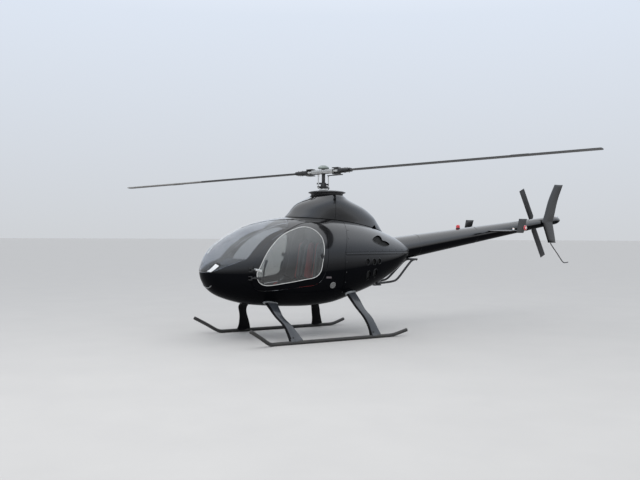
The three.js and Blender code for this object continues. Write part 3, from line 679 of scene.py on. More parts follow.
SATIN_BLACK = finish(
    "satin_black", (0.010, 0.010, 0.011), (0.020, 0.020, 0.021), 18, (0.38, 0.55), 0.06, 400,
)
LAMP_PALE = finish("nose_lamp_lens", (0.66, 0.67, 0.68), (0.80, 0.81, 0.82), 60, (0.06, 0.12), 0.25, 90,
                   stretch=(1, 1, 0.1), Coat_Weight=1.0, Coat_Roughness=0.03)


def patch(name, outline, low, high, reach):
    """A thin raised piece of the pod's own skin inside a side-view outline."""
    made = pod_form(name, -high)
    trim(made, pod_form("patch_back", -low))
    keep_in(made, outline, *reach)
    return crease(made, 30)


def on_side(side, near, far):
    """A span of distances out from the middle, on the side asked for."""
    return sorted((side * near, side * far))


for side, word in SIDES:
    reach = on_side(side, 0.02, 0.5)
    surround = patch(f"nose_lamp_frame_{word}", LAMP_FRAME, 0.0003, 0.0016, reach)
    fit(surround, SATIN_BLACK, "airframe", "black_gloss_paint")
    lens = patch(f"nose_lamp_lens_{word}", LAMP_BAR, 0.0018, 0.0040, reach)
    fit(lens, LAMP_PALE, "airframe", "lens_clear")
LIP_GREY = finish("chin_lip", (0.14, 0.14, 0.14), (0.20, 0.20, 0.20), 30, (0.35, 0.5), 0.06, 500)
lip_line = []
for share in np.linspace(-1, 1, 25):
    place = (MAST_X + 2.2, LIP_HALF_WIDTH * share, LIP_HEIGHT + LIP_RISE * share ** 2)
    lip_line.append(struck(outer_guide, place, (-1, 0, 0)))
fit(ribbon("chin_lip", lip_line, 0.012, 0.005), LIP_GREY, "airframe", "black_gloss_paint")

# Doors: each is one moulded panel of the pod's own skin, hung at its front edge on a polished strap above a
# black one, with a big blown window bonded in and edged by a pale seal. A turn latch holds its rear edge.
DOOR_GAP = 0.006
WINDOW_OUTLINE = (
    (1.296, 0.905), (1.268, 0.965), (1.175, 1.134), (1.080, 1.253), (0.918, 1.390), (0.747, 1.469),
    (0.540, 1.522), (0.415, 1.489), (0.325, 1.385), (0.312, 1.230), (0.345, 1.060), (0.383, 0.914),
    (0.455, 0.848), (0.640, 0.813), (0.912, 0.773), (1.170, 0.750), (1.262, 0.795),
)
RIM_WIDTH, RIM_HEIGHT = 0.0078, 0.003
HINGE_AT = (1.374, 0.480)
HINGE_HEIGHTS = (0.850, 0.955)
KNUCKLE_RADIUS = 0.009
# Broken edge of a bar, and the radius that stands for its axis
BAR_EDGE, AXIS = 0.0015, 0.0004
LATCH_AT = (0.352, 1.128)
HINGE_PLATE = ((1.332, 0.960), (1.310, 0.957), (1.284, 0.953), (1.258, 0.946), (1.236, 0.939))

SEAL_PALE = finish("window_seal", (0.50, 0.50, 0.48), (0.66, 0.66, 0.64), 25, (0.35, 0.5), 0.05, 300)


def rounded(piece, edge, profile, clamp):
    """Rounds every edge of a piece that turns enough to have one."""
    work = bmesh.new()
    work.from_mesh(piece.data)
    edges = [e for e in work.edges if e.is_manifold and e.calc_face_angle(0) > 0.3]
    bmesh.ops.bevel(
        work, geom=edges, offset=edge, segments=3, profile=profile, affect="EDGES", clamp_overlap=clamp,
    )
    work.to_mesh(piece.data)
    work.free()
    return crease(piece, 40)


def block(name, low, high, edge=0.003, place=FROM_MAST):
    """A machined block with its edges broken."""
    return rounded(box_form(name, low, high, place), edge, 0.6, False)


def round_bar(name, x, y, z0, z1, radius, place=FROM_MAST, sides=32):
    """An upright round bar with broken edges."""
    small = radius - BAR_EDGE
    profile = [
        (AXIS, z0), (small, z0), (radius, z0 + BAR_EDGE), (radius, z1 - BAR_EDGE), (small, z1), (AXIS, z1),
    ]
    return crease(turned(name, profile, sides, place, (x, y)), 40)


def merge(name, pieces):
    """Joins several small pieces into one mesh."""
    work = bmesh.new()
    for piece in pieces:
        mesh = piece.data.copy()
        mesh.transform(piece.matrix_world)
        work.from_mesh(mesh)
        bpy.data.objects.remove(piece)
    mesh = bpy.data.meshes.new(name)
    work.to_mesh(mesh)
    work.free()
    made = bpy.data.objects.new(name, mesh)
    scene.collection.objects.link(made)
    return made


def facing_out(point, out):
    """The frame of a thing that stands on a form and faces out of it."""
    return Matrix.Translation(point) @ out.to_track_quat("Z", "Y").to_matrix().to_4x4()


def studs(name, spots, radius, height, sides=14):
    """Domed fasteners set on a form, joined as one mesh."""
    profile = [
        (0.0003, -0.001), (radius, -0.001), (radius, height * 0.4), (radius * 0.8, height),
        (0.0003, height),
    ]
    pieces = [turned("stud", profile, sides, facing_out(*spot)) for spot in spots]
    return crease(merge(name, pieces), 50)


def skin_line(outline, side):
    """Spots on the pod's skin along a side-view outline."""
    return [on_skin(outer_guide, x, z, side) for x, z in outline]


window_curve = curve_through(WINDOW_OUTLINE, 7)
DOOR_CLEAR = clear_plastic("door_window_clear", (0.73, 0.74, 0.735, 1), ((0.35, 0.025), (0.8, 0.065)))
for side, word in SIDES:
    reach = on_side(side, 0.001, BEYOND)
    panel = copy_of(pod_skin, f"door_panel_{word}")
    keep_in(panel, shrink(door_curve, DOOR_GAP), *reach)
    cut_out(panel, window_curve, *reach)
    shade_like(panel, pod_outer, pod_inner)
    two_sided(panel, pod_inner, BLACK_PAINT, LINING)
    fit(panel, None, f"door_{word}", "black_gloss_paint", f"door_{word}")
    pane = copy_of(glass_skin, f"door_pane_{word}")
    keep_in(pane, shrink(window_curve, SEAM), *reach)
    shade_like(pane, pod_outer, pod_glass)
    fit(pane, DOOR_CLEAR, f"door_{word}", "door_window_clear", f"door_window_{word}")
    rim = ribbon(f"window_seal_{word}", skin_line(window_curve, side), RIM_WIDTH, RIM_HEIGHT, closed=True)
    fit(rim, SEAL_PALE, f"door_{word}", "seam_strip")
    x, y = HINGE_AT
    lugs = []
    for z, metal, place in zip(HINGE_HEIGHTS, (SATIN_BLACK, BRIGHT_METAL), ("low", "high")):
        for low in (z + 0.0145, z - 0.027):
            lugs.append(round_bar("lug", x, side * y, low, low + 0.0125, KNUCKLE_RADIUS))
            ends = on_side(side, 0.430, y)
            lugs.append(block("arm", (x, ends[0], low), (x + 0.034, ends[1], low + 0.0125)))
        ends = on_side(side, 0.470, y + 0.004)
        straps = [
            round_bar("knuckle", x, side * y, z - 0.0125, z + 0.0125, KNUCKLE_RADIUS),
            block("strap", (1.318, ends[0], z - 0.009), (x, ends[1], z + 0.009)),
        ]
        fit(merge(f"hinge_strap_{place}_{word}", straps), SATIN_BLACK, f"door_{word}", "seam_strip")
        spots = skin_line([(px, pz + z - HINGE_HEIGHTS[1]) for px, pz in HINGE_PLATE], side)
        plates = [ribbon("plate", spots, 0.030, 0.005), studs("rivets", spots[1:4], 0.005, 0.0075)]
        fit(merge(f"hinge_plate_{place}_{word}", plates), metal, f"door_{word}", "seam_strip")
    fit(merge(f"hinge_lugs_{word}", lugs), SATIN_BLACK, "airframe", "black_gloss_paint")
    face = facing_out(*on_skin(outer_guide, *LATCH_AT, side))
    latch = merge(f"door_latch_{word}", [
        round_bar("plate", 0, 0, -0.004, 0.004, 0.026, face),
        block("lever", (-0.012, -0.034, 0.004), (0.012, 0.034, 0.016), 0.005, face),
    ])
    fit(latch, SATIN_BLACK, f"door_{word}", "black_gloss_paint")

# Cowls: the two painted shells behind the cabin, split along the pod's widest line and held to each other
# and to the cabin by quarter-turn studs. The upper one has a pair of hot-air outlets, the lower one five
# round holes a side. The hull just ahead of them carries a round cap and a small blank plate to port.
COWL_SPLIT = 1.175
VENT_OUTLINE = (
    (-0.578, 1.350), (-0.612, 1.378), (-0.653, 1.394), (-0.700, 1.408), (-0.745, 1.408), (-0.778, 1.394),
    (-0.792, 1.368), (-0.790, 1.340), (-0.830, 1.334), (-0.882, 1.316), (-0.930, 1.284), (-0.905, 1.262),
    (-0.866, 1.254), (-0.820, 1.250), (-0.769, 1.254), (-0.722, 1.266), (-0.681, 1.282), (-0.636, 1.298),
    (-0.598, 1.320),
)
# Station, height, half width, half height
COWL_HOLES = (
    (-0.433, 1.038, 0.040, 0.047), (-0.561, 1.036, 0.040, 0.047), (-0.666, 1.041, 0.034, 0.042),
    (-0.474, 0.840, 0.043, 0.068), (-0.602, 0.868, 0.043, 0.064),
)
FLANGE_SPAN, FLANGE_MIDDLE, FLANGE_WIDTH, FLANGE_HEIGHT = (-0.045, -1.290), 1.151, 0.036, 0.003
CAP_AT, CAP_RADIUS = (0.161, 0.727), 0.046
SMALL_PLATE = ((0.286, 0.837), (0.264, 0.837), (0.242, 0.836), (0.220, 0.835), (0.202, 0.834))
BOOM_FRONT = (-1.180, 1.192, 0.187)
BOOM_REAR = (-4.740, 1.691, 0.074)
STUD_RADIUS, STUD_HEIGHT = 0.008, 0.0025

SCREEN_AND_SHADE_BLACK = finish(
    "vent_screen_and_shade", (0.002, 0.002, 0.002), (0.006, 0.006, 0.006), 200, (0.7, 0.9), 0.8, 900,
)


def boom_at(x):
    """The boom's middle height and radius at a station."""
    share = (x - BOOM_FRONT[0]) / (BOOM_REAR[0] - BOOM_FRONT[0])
    return tuple(a + (b - a) * share for a, b in zip(BOOM_FRONT[1:], BOOM_REAR[1:]))


def boom_rings(stations, grow=0.0, sides=72):
    """The boom's outline at some stations, made larger all round by a distance."""
    rings = []
    for x in stations:
        z, radius = boom_at(x)
        rings.append([(x, (radius + grow) * c, z + (radius + grow) * s) for c, s in circle(sides)])
    return rings


def ellipse(x, z, wide, high):
    """The side-view outline of a round hole."""
    return [(x + wide * c, z + high * s) for c, s in circle(28)]


vent_curve = curve_through(VENT_OUTLINE, 5)
cowls = copy_of(pod_skin, "cowls")
trim(cowls, behind_seam("cowl_edge", JOINT), "INTERSECT")
trim(cowls, lofted("boom_hole", boom_rings((-1.15, -1.60), SEAM)))
upper_cowl = keep_in(copy_of(cowls, "upper_cowl_panel"), oblong(-1.7, COWL_SPLIT + JOINT, 0.2, 1.9))
lower_cowl = keep_in(copy_of(cowls, "lower_cowl_panel"), oblong(-1.7, 0.3, 0.2, COWL_SPLIT - JOINT))
bpy.data.objects.remove(cowls)
for side, word in SIDES:
    reach = on_side(side, 0.2, BEYOND)
    cut_out(upper_cowl, vent_curve, *reach)
    rims = [ribbon("rim", skin_line(vent_curve, side), 0.008, 0.003, closed=True)]
    flange = skin_line([(x, FLANGE_MIDDLE) for x in np.linspace(*FLANGE_SPAN, 61)], side)
    rims.append(ribbon("flange", flange, FLANGE_WIDTH, FLANGE_HEIGHT))
    for hole in COWL_HOLES:
        cut_out(lower_cowl, ellipse(*hole), *reach)
        rims.append(ribbon("rim", skin_line(ellipse(*hole), side), 0.007, 0.003, closed=True))
    fit(merge(f"cowl_hole_rims_{word}", rims), BLACK_PAINT, "airframe", "black_gloss_paint")
for panel, node in ((upper_cowl, "upper_cowl"), (lower_cowl, "lower_cowl")):
    shade_like(panel, pod_outer, pod_inner)
    two_sided(panel, pod_inner, BLACK_PAINT, SATIN_BLACK)
    fit(panel, None, "airframe", "black_gloss_paint", node)
# Black screens close behind the outlets and holes; their near-total black is also painted shade for the dark
# bay behind them
screen = pod_form("vent_screens_and_shade", WALL + 0.003)
trim(screen, pod_form("screen_back", WALL + 0.006))
screens = [
    keep_in(copy_of(screen, "vent_screen_and_shade"), area)
    for area in (oblong(-1.0, 1.2, -0.55, 1.45), oblong(-1.0, 0.75, -0.38, 1.12))
]
bpy.data.objects.remove(screen)
fit(merge("vent_screens_and_shade", screens), SCREEN_AND_SHADE_BLACK, "airframe", "mast_dark")
stud_spots = []
for side, _ in SIDES:
    (low_x, low_z), (high_x, high_z) = COWL_SEAM
    for z in (0.62, 0.76, 0.90, 1.04, 1.24, 1.36, 1.48):
        lean = max(0, (z - low_z) / (high_z - low_z)) * (high_x - low_x)
        stud_spots.append(on_skin(outer_guide, low_x + lean - 0.028, z, side))
    for k in range(8):
        for lift in (-0.024, 0.024):
            point, out = on_skin(outer_guide, -0.15 - k * 0.15, COWL_SPLIT + lift, side)
            stud_spots.append((point + out * (FLANGE_HEIGHT if lift < 0 else 0), out))
cowl_studs = studs("cowl_studs", stud_spots, STUD_RADIUS, STUD_HEIGHT)
fit(cowl_studs, SATIN_BLACK, "airframe", "black_gloss_paint")
CAP_GREY = finish(
    "cap_grey", (0.14, 0.14, 0.14), (0.20, 0.20, 0.195), 30, (0.35, 0.5), 0.06, 500, Metallic=0.3,
)
cap_face = facing_out(*on_skin(outer_guide, *CAP_AT, 1))
side_cap = merge("side_cap_disc", [
    turned("disc", [
        (AXIS, -0.003), (CAP_RADIUS, -0.003), (CAP_RADIUS, 0.004), (0.043, 0.0075), (0.036, 0.0085),
        (0.033, 0.0055), (AXIS, 0.0055),
    ], 48, cap_face),
    block("grip", (-0.028, -0.005, 0.004), (0.028, 0.005, 0.0105), 0.003, cap_face),
])
fit(crease(side_cap, 35), CAP_GREY, "airframe", "cap_grey", "side_cap")
PLATE_GREY = finish("small_plate", (0.085, 0.070, 0.076), (0.12, 0.10, 0.108), 40, (0.4, 0.5), 0.05, 500)
plate_spots = skin_line(SMALL_PLATE, 1)
fit(ribbon("small_plate", plate_spots, 0.026, 0.0016), PLATE_GREY, "airframe", "cap_grey")

# Mast fairing: two thin mouldings that meet on a joint beside the mast, with a triangular air outlet at the
# rear foot, and a flared round collar on top that throws rain off the gearbox.
FAIRING_TOP = 1.986
# Height, front, rear, half width
FAIRING_ROWS = (
    (1.380, 0.700, -1.085, 0.240), (1.500, 0.690, -1.003, 0.246), (1.600, 0.668, -0.928, 0.250),
    (1.660, 0.622, -0.882, 0.254), (1.720, 0.560, -0.812, 0.258), (1.800, 0.492, -0.690, 0.261),
    (1.850, 0.432, -0.576, 0.260), (1.890, 0.358, -0.468, 0.256), (1.930, 0.268, -0.372, 0.247),
    (1.960, 0.212, -0.326, 0.240), (FAIRING_TOP, 0.168, -0.288, 0.230),
)
FAIRING_SPLIT = -0.045
FAIRING_WALL = 0.012
FAIRING_NOTCH = ((-0.660, 1.440), (-0.668, 1.484), (-0.800, 1.566), (-0.880, 1.440))
COLLAR_X = -0.060
COLLAR_PROFILE = (
    (0.228, 1.987), (0.229, 1.992), (0.233, 1.999), (0.242, 2.006), (0.255, 2.011), (0.266, 2.014),
    (0.268, 2.016), (0.268, 2.020), (0.265, 2.024), (0.254, 2.030), (0.228, 2.037), (0.190, 2.042),
    (0.140, 2.044), (0.096, 2.045), (0.096, 2.034), (0.188, 2.031), (0.250, 2.020), (0.232, 2.006),
    (0.221, 1.997), (0.219, 1.987),
)
FOOT_GAP = 0.006


def fairing_form(name, inset):
    """The fairing's outside, or a form further in by a distance."""
    rings = []
    for z, front, rear, half in curve_through(FAIRING_ROWS, 4, closed=False):
        ahead, behind = front - inset - COLLAR_X, COLLAR_X - rear - inset
        rings.append([
            (COLLAR_X + (ahead if c > 0 else behind) * c, (half - inset) * s, z) for c, s in circle(96)
        ])
    return lofted(name, rings)


fairing_outer = fairing_form("fairing_outer", 0)
fairing_inner = fairing_form("fairing_inner", FAIRING_WALL)
fairing_shell = trim(copy_of(fairing_outer, "fairing_shell"), fairing_inner, keep=True)
trim(fairing_shell, pod_form("fairing_foot", -FOOT_GAP))
cut_out(fairing_shell, FAIRING_NOTCH, -0.4, 0.4)
for word, x0, x1 in (("front", FAIRING_SPLIT + JOINT, 0.9), ("rear", -1.3, FAIRING_SPLIT - JOINT)):
    half = copy_of(fairing_shell, f"mast_fairing_{word}_shell")
    keep_in(half, oblong(x0, 1.3, x1, FAIRING_TOP - 0.0001), -0.4, 0.4)
    shade_like(half, fairing_outer, fairing_inner)
    two_sided(half, fairing_inner, HIGH_LIT_PAINT, SATIN_BLACK)
    fit(half, None, "airframe", "black_gloss_paint", f"mast_fairing_{word}")
fairing_guide = guide_of(fairing_outer)
joint_studs = []
for side, _ in SIDES:
    for z in (1.68, 1.78, 1.88):
        for step in (-0.022, 0.022):
            joint_studs.append(on_skin(fairing_guide, FAIRING_SPLIT + step, z, side))
fit(studs("fairing_studs", joint_studs, 0.007, 0.002), SATIN_BLACK, "airframe", "black_gloss_paint")
for guide in (fairing_outer, fairing_inner, fairing_shell):
    bpy.data.objects.remove(guide)
collar = turned("mast_collar_ring", COLLAR_PROFILE, 96, FROM_MAST, (COLLAR_X, 0))
fit(crease(collar, 40), SATIN_BLACK, "airframe", "black_gloss_paint", "mast_collar")

# Cabin floor and bulkhead: a flat sandwich floor under hard-wearing carpet, and an upright firewall behind
# the seats, both bonded to the pod's inner face and covered in the same dark pile.
LINING_GAP = 0.004
CARPET = finish("cabin_carpet", (0.016, 0.015, 0.014), (0.040, 0.038, 0.035), 70, (0.9, 1.0), 0.9, 1400)
TRIM_PLASTIC = finish(
    "cabin_trim", (0.020, 0.020, 0.020), (0.030, 0.030, 0.029), 12, (0.55, 0.7), 0.25, 1100,
)

cabin_room = pod_form("cabin_room", WALL + LINING_GAP)
floor_panel = block("cabin_floor_panel", (0.066, -0.600, 0.500), (1.640, 0.600, 0.512), 0.002)
trim(floor_panel, cabin_room, "INTERSECT", keep=True)
fit(crease(floor_panel, 40), CARPET, "airframe", "cabin_carpet", "cabin_floor")
firewall = block("bulkhead_panel", (0.042, -0.600, 0.430), (0.062, 0.600, 1.640), 0.002)
trim(firewall, cabin_room, "INTERSECT", keep=True)
fit(crease(firewall, 40), CARPET, "airframe", "cabin_trim", "bulkhead")

# Seats: two boxes moulded in one with the floor carry foam cushions in dark cloth with dull red side
# bolsters. The back pads lean on the bulkhead, and each seat has a pale webbing harness with a bright
# buckle.
SEAT_Y = 0.236
CUSHION_SIDE = ((0.168, 0.664), (0.612, 0.664), (0.612, 0.722), (0.168, 0.716))
BACK_SIDE = ((0.164, 0.768), (0.250, 0.768), (0.178, 1.226), (0.158, 1.314), (0.112, 1.314), (0.106, 1.226))
PAD_HALF_WIDTH = 0.184
PAD_EDGE = 0.020
PAD_VOXEL = 0.010
FOAM_PRESSURE = 4.0
FOAM_CAP = 0.016
FOAM_FRAMES = 20
BOLSTER_FROM = 0.118
SEAM_DEPTH, SEAM_WIDTH = 0.007, 0.010
STRAP_WIDTH, STRAP_THICK = 0.044, 0.0022
SHOULDER_STRAP_Y = 0.075

SEAT_CLOTH = finish("seat_cloth", (0.030, 0.029, 0.028), (0.052, 0.050, 0.047), 90, (0.8, 0.95), 0.6, 1600)
SEAT_RED = finish("seat_bolster", (0.300, 0.030, 0.032), (0.400, 0.048, 0.046), 40, (0.55, 0.75), 0.4, 900)
WEBBING = finish(
    "harness_webbing", (0.085, 0.085, 0.083), (0.125, 0.124, 0.12), 30, (0.7, 0.85), 0.5, 1200,
    stretch=(1, 1, 6),
)


def slab(name, outline, y0, y1, edge=0.004):
    """A side-view outline made as wide as given, with its edges rounded."""
    return rounded(across(name, outline, y0, y1), edge, 0.5, True)


def stuffed(piece):
    """Fills a sewn cover with foam: a short cloth simulation under pressure, with capped travel."""
    cover = piece.modifiers.new("cover", "REMESH")
    cover.mode = "VOXEL"
    cover.voxel_size = PAD_VOXEL
    baked(piece)
    start = [vertex.co.copy() for vertex in piece.data.vertices]
    foam = piece.modifiers.new("foam", "CLOTH")
    foam.settings.use_pressure = True
    foam.settings.uniform_pressure_force = FOAM_PRESSURE
    foam.settings.effector_weights.gravity = 0
    for moment in range(1, FOAM_FRAMES + 1):
        scene.frame_set(moment)
    baked(piece)
    for vertex, place in zip(piece.data.vertices, start):
        travel = vertex.co - place
        if travel.length > FOAM_CAP:
            vertex.co = place + travel.normalized() * FOAM_CAP
    scene.frame_set(1)
    finer = piece.modifiers.new("finer", "SUBSURF")
    finer.levels = 1
    finer.render_levels = 1
    return baked(piece)


def sewn(piece, middle, cross_seams, facing):
    """Pulls the cover in along its two long seams and across its cushioned middle."""
    mesh = piece.data
    normals = [vertex.normal.copy() for vertex in mesh.vertices]
    for vertex, normal in zip(mesh.vertices, normals):
        if normal.dot(facing) < 0.3:
            continue
        out = abs(vertex.co.y - middle)
        pull = math.exp(-((out - BOLSTER_FROM) / SEAM_WIDTH) ** 2)
        if out < BOLSTER_FROM:
            pull += sum(
                math.exp(-((vertex.co - point).dot(run) / SEAM_WIDTH) ** 2) for point, run in cross_seams
            )
        vertex.co -= normal * SEAM_DEPTH * min(pull, 1)
    mesh.polygons.foreach_set("use_smooth", [True] * len(mesh.polygons))
    mesh.update()
    paint_two(piece, SEAT_CLOTH, SEAT_RED, lambda face: abs(face.center.y - middle) > BOLSTER_FROM)
    return piece


seat_boxes = [
    block(f"seat_box_{k}", low, high, 0.012)
    for k, (low, high) in enumerate((
        ((0.140, -0.492, 0.514), (0.640, -0.014, 0.650)), ((0.140, 0.014, 0.514), (0.640, 0.492, 0.650)),
        ((0.140, -0.060, 0.514), (0.600, 0.060, 0.560)),
    ))
]
for piece in seat_boxes:
    trim(piece, cabin_room, "INTERSECT", keep=True)
fit(crease(merge("seat_boxes", seat_boxes), 40), TRIM_PLASTIC, "airframe", "cabin_trim", "seat_base")
for side, word in SIDES:
    middle = side * SEAT_Y
    wide = (middle - PAD_HALF_WIDTH, middle + PAD_HALF_WIDTH)
    pad = stuffed(slab(f"seat_cushion_pad_{word}", CUSHION_SIDE, *wide, PAD_EDGE))
    cross = [(Vector((MAST_X + x, 0, 0)), Vector((1, 0, 0))) for x in (0.27, 0.38, 0.49)]
    sewn(pad, middle, cross, Vector((0, 0, 1)))
    fit(pad, None, "airframe", "seat_fabric", f"seat_cushion_{word}")
    back = stuffed(slab(f"seat_back_pad_{word}", BACK_SIDE, *wide, PAD_EDGE))
    cross = [(Vector((0, 0, z)), Vector((0, 0, 1))) for z in (0.87, 0.98, 1.09, 1.20)]
    sewn(back, middle, cross, Vector((1, 0, 0)))
    fit(back, None, "airframe", "seat_fabric", f"seat_back_{word}")
    pad_guide, back_guide = guide_of(pad), guide_of(back)
    straps = []
    for lean in (-1, 1):
        y = middle + lean * SHOULDER_STRAP_Y
        spots = [
            (Vector((MAST_X + x, y, z)), Vector((0, 0, 1)))
            for x, z in ((0.064, 1.352), (0.085, 1.350), (0.108, 1.344))
        ]
        for k in range(14):
            z = 1.290 - k * 0.036
            inward = y - lean * 0.030 * k / 13
            hit = struck(back_guide, (MAST_X + 1, inward, z), (-1, 0, 0))[0]
            spots.append((hit + Vector((0.003, 0, 0)), Vector((0.97, 0, 0.24)).normalized()))
        straps.append(ribbon("strap", spots, STRAP_WIDTH, STRAP_THICK))
        spots = []
        for k in range(7):
            across_at = middle + lean * (0.188 - k * 0.026)
            station = 0.262 + k * 0.012
            spot = struck(pad_guide, (MAST_X + station, across_at, 1.1), (0, 0, -1))
            if spot:
                spots.append((spot[0] + Vector((0, 0, 0.003)), Vector((0, 0, 1))))
        straps.append(ribbon("lap", spots, STRAP_WIDTH, STRAP_THICK))
    fit(merge(f"harness_{word}", straps), WEBBING, "airframe", "seat_fabric")
    low = struck(pad_guide, (MAST_X + 0.345, middle, 1.1), (0, 0, -1))[0]
    buckle_at = Matrix.Translation(low + Vector((0, 0, 0.004)))
    buckle = merge(f"harness_buckle_{word}", [
        block("case", (-0.026, -0.030, 0), (0.026, 0.030, 0.012), 0.003, buckle_at),
        round_bar("button", 0, 0, 0.010, 0.017, 0.014, buckle_at),
    ])
    fit(buckle, BRIGHT_METAL, "airframe", "hub_silver")

# Console and instruments: a moulded pedestal between the pilots' knees under a hooded panel of round
# instruments, each in a black ring with white marks and a pointer.
PEDESTAL = ((0.930, 0.514), (1.420, 0.514), (1.440, 0.900), (1.330, 0.900), (0.960, 0.560))
PANEL = ((1.265, 0.890), (1.500, 0.890), (1.530, 1.010), (1.420, 1.090), (1.290, 1.085))
PANEL_HALF_WIDTH = 0.235
# Place across the panel, place up it, radius
DIALS = (
    (-0.184, 0.045, 0.038), (-0.092, 0.045, 0.038), (0.0, 0.045, 0.038), (0.092, 0.045, 0.038),
    (0.184, 0.045, 0.038), (-0.170, -0.048, 0.028), (-0.085, -0.048, 0.034), (0.0, -0.048, 0.034),
    (0.085, -0.048, 0.034), (0.170, -0.048, 0.028),
)
MARKS = 12

CONSOLE_BLACK = finish(
    "console_black", (0.012, 0.012, 0.012), (0.022, 0.022, 0.022), 14, (0.5, 0.68), 0.3, 900,
)
DIAL_FACE = finish("dial_face", (0.006, 0.006, 0.006), (0.011, 0.011, 0.011), 40, (0.25, 0.35), 0.0)
DIAL_WHITE = finish("dial_marks", (0.62, 0.62, 0.60), (0.74, 0.74, 0.72), 60, (0.5, 0.6), 0.0)

pedestal = slab("pedestal", PEDESTAL, -0.085, 0.085, 0.010)
hood = slab("instrument_panel", PANEL, -PANEL_HALF_WIDTH, PANEL_HALF_WIDTH, 0.012)
trim(hood, cabin_room, "INTERSECT", keep=True)
trim(pedestal, cabin_room, "INTERSECT", keep=True)
fit(crease(merge("console_mouldings", [pedestal, hood]), 35), CONSOLE_BLACK, "airframe", "console_black",
    "instrument_console")
foot, head_of_face = Vector((PANEL[0][0], 0, PANEL[0][1])), Vector((PANEL[4][0], 0, PANEL[4][1]))
up_face = (head_of_face - foot).normalized()
aft = Vector((0, -1, 0)).cross(up_face).normalized()
panel_turn = Matrix((Vector((0, -1, 0)), up_face, aft)).transposed().to_4x4()
panel_face = FROM_MAST @ Matrix.Translation((foot + head_of_face) / 2) @ panel_turn
rings, faces, marks = [], [], []
for number, (x, y, radius) in enumerate(DIALS):
    at = panel_face @ Matrix.Translation((x, y, 0))
    hole, lid = radius * 0.86, radius * 0.87
    rim = [(hole, -0.002), (radius, -0.002), (radius, 0.006), (radius * 0.94, 0.009), (hole, 0.005)]
    rings.append(turned("ring", rim, 40, at))
    faces.append(turned("face", [(0.0003, -0.002), (lid, -0.002), (lid, 0.002), (0.0003, 0.002)], 40, at))
    for k in range(MARKS):
        spoke = at @ Matrix.Rotation(2 * math.pi * k / MARKS, 4, "Z")
        inner = radius * (0.64 if k % 3 == 0 else 0.69)
        marks.append(block("mark", (-0.0006, inner, 0.0018), (0.0006, radius * 0.78, 0.0026), 0.0001, spoke))
    needle = at @ Matrix.Rotation(0.7 + 1.37 * number, 4, "Z")
    low, high = (-0.0009, -radius * 0.15, 0.0026), (0.0009, radius * 0.62, 0.0036)
    marks.append(block("needle", low, high, 0.0002, needle))
fit(crease(merge("dial_rings", rings), 40), SATIN_BLACK, "airframe", "console_black")
fit(crease(merge("dial_faces", faces), 40), DIAL_FACE, "airframe", "console_black")
fit(merge("dial_marks", marks), DIAL_WHITE, "airframe", "seam_strip")

# Controls: bent steel tubes in black enamel with moulded grips, a soft boot where each stick leaves the
# floor, and two pairs of ribbed pedals on one cross tube.
STICK_PATH = ((0.800, 0.540), (0.826, 0.640), (0.840, 0.760), (0.830, 0.890), (0.800, 1.010))
LEVER_PATH = ((0.102, 0.700), (0.420, 0.775), (0.640, 0.860))
LEVER_Y = (0.452, 0.0)
STICK_GRIP = ((0.8135, 0.955), (0.800, 1.010), (0.784, 1.058))
LEVER_GRIP = ((0.520, 0.8085), (0.600, 0.842), (0.655, 0.868))
PEDAL_Y = (0.228, 0.130, -0.130, -0.228)

CONTROL_BLACK = finish(
    "control_enamel", (0.012, 0.012, 0.013), (0.022, 0.022, 0.023), 16, (0.3, 0.45), 0.08, 500,
)
GRIP_RUBBER = finish(
    "grip_rubber", (0.010, 0.010, 0.010), (0.016, 0.016, 0.016), 30, (0.75, 0.9), 0.5, 1200,
)


def bent_bar(name, path, radius, sides=20, steps=6, place=FROM_MAST):
    """A round bar along a smooth line through points. The radius may change from its start to its end."""
    line = curve_through(path, steps, closed=False)
    line = [p for i, p in enumerate(line) if i == 0 or (p - line[i - 1]).length > 1e-5]
    last = len(line) - 1
    start, end = radius if isinstance(radius, tuple) else (radius, radius)
    runs = [(line[min(i + 1, last)] - line[max(i - 1, 0)]).normalized() for i in range(last + 1)]
    side = runs[0].cross(Vector((0, 0, 1)) if abs(runs[0].z) < 0.9 else Vector((1, 0, 0))).normalized()
    rings = []
    for i, (point, run) in enumerate(zip(line, runs)):
        side = (side - run * side.dot(run)).normalized()
        lift = side.cross(run)
        size = start + (end - start) * i / last
        # Both ends are chamfered: a smaller ring at the end, and the full one a little way in.
        inward = run * size * 0.3 * ((i == 0) - (i == last))
        ring = [point + (side * c + lift * s) * size + inward for c, s in circle(sides)]
        small = [point + (side * c + lift * s) * size * 0.7 for c, s in circle(sides)]
        rings += [small, ring] if i == 0 else [ring, small] if i == last else [ring]
    return crease(lofted(name, rings, place), 50)


def at_side(path, y):
    """A side-view path at a distance out from the middle."""
    return [(x, y, z) for x, z in path]


bars, grips, boots = [], [], []
for side, _ in SIDES:
    y = side * SEAT_Y
    bars.append(bent_bar("stick", at_side(STICK_PATH, y), 0.0125))
    grips.append(bent_bar("stick_grip", at_side(STICK_GRIP, y), (0.017, 0.021)))
    boot = turned("boot", [
        (0.0125, 0.512), (0.058, 0.512), (0.060, 0.516), (0.048, 0.528), (0.050, 0.536), (0.036, 0.548),
        (0.038, 0.556), (0.024, 0.572), (0.0145, 0.580), (0.0125, 0.580),
    ], 40, FROM_MAST, (0.808, y))
    boots.append(crease(boot, 60))
bars.append(bent_bar("cross_tube", ((0.800, -SEAT_Y, 0.545), (0.800, SEAT_Y, 0.545)), 0.011))
fit(merge("cyclic_bars", bars), CONTROL_BLACK, "airframe", "control_black", "cyclic_sticks")
lever_bars = [bent_bar("lever", at_side(LEVER_PATH, y), 0.0115) for y in LEVER_Y]
lever_bars.append(bent_bar("lever_cross", ((0.104, -0.008, 0.700), (0.104, 0.456, 0.700)), 0.011))
grips += [bent_bar("lever_grip", at_side(LEVER_GRIP, y), 0.0175) for y in LEVER_Y]
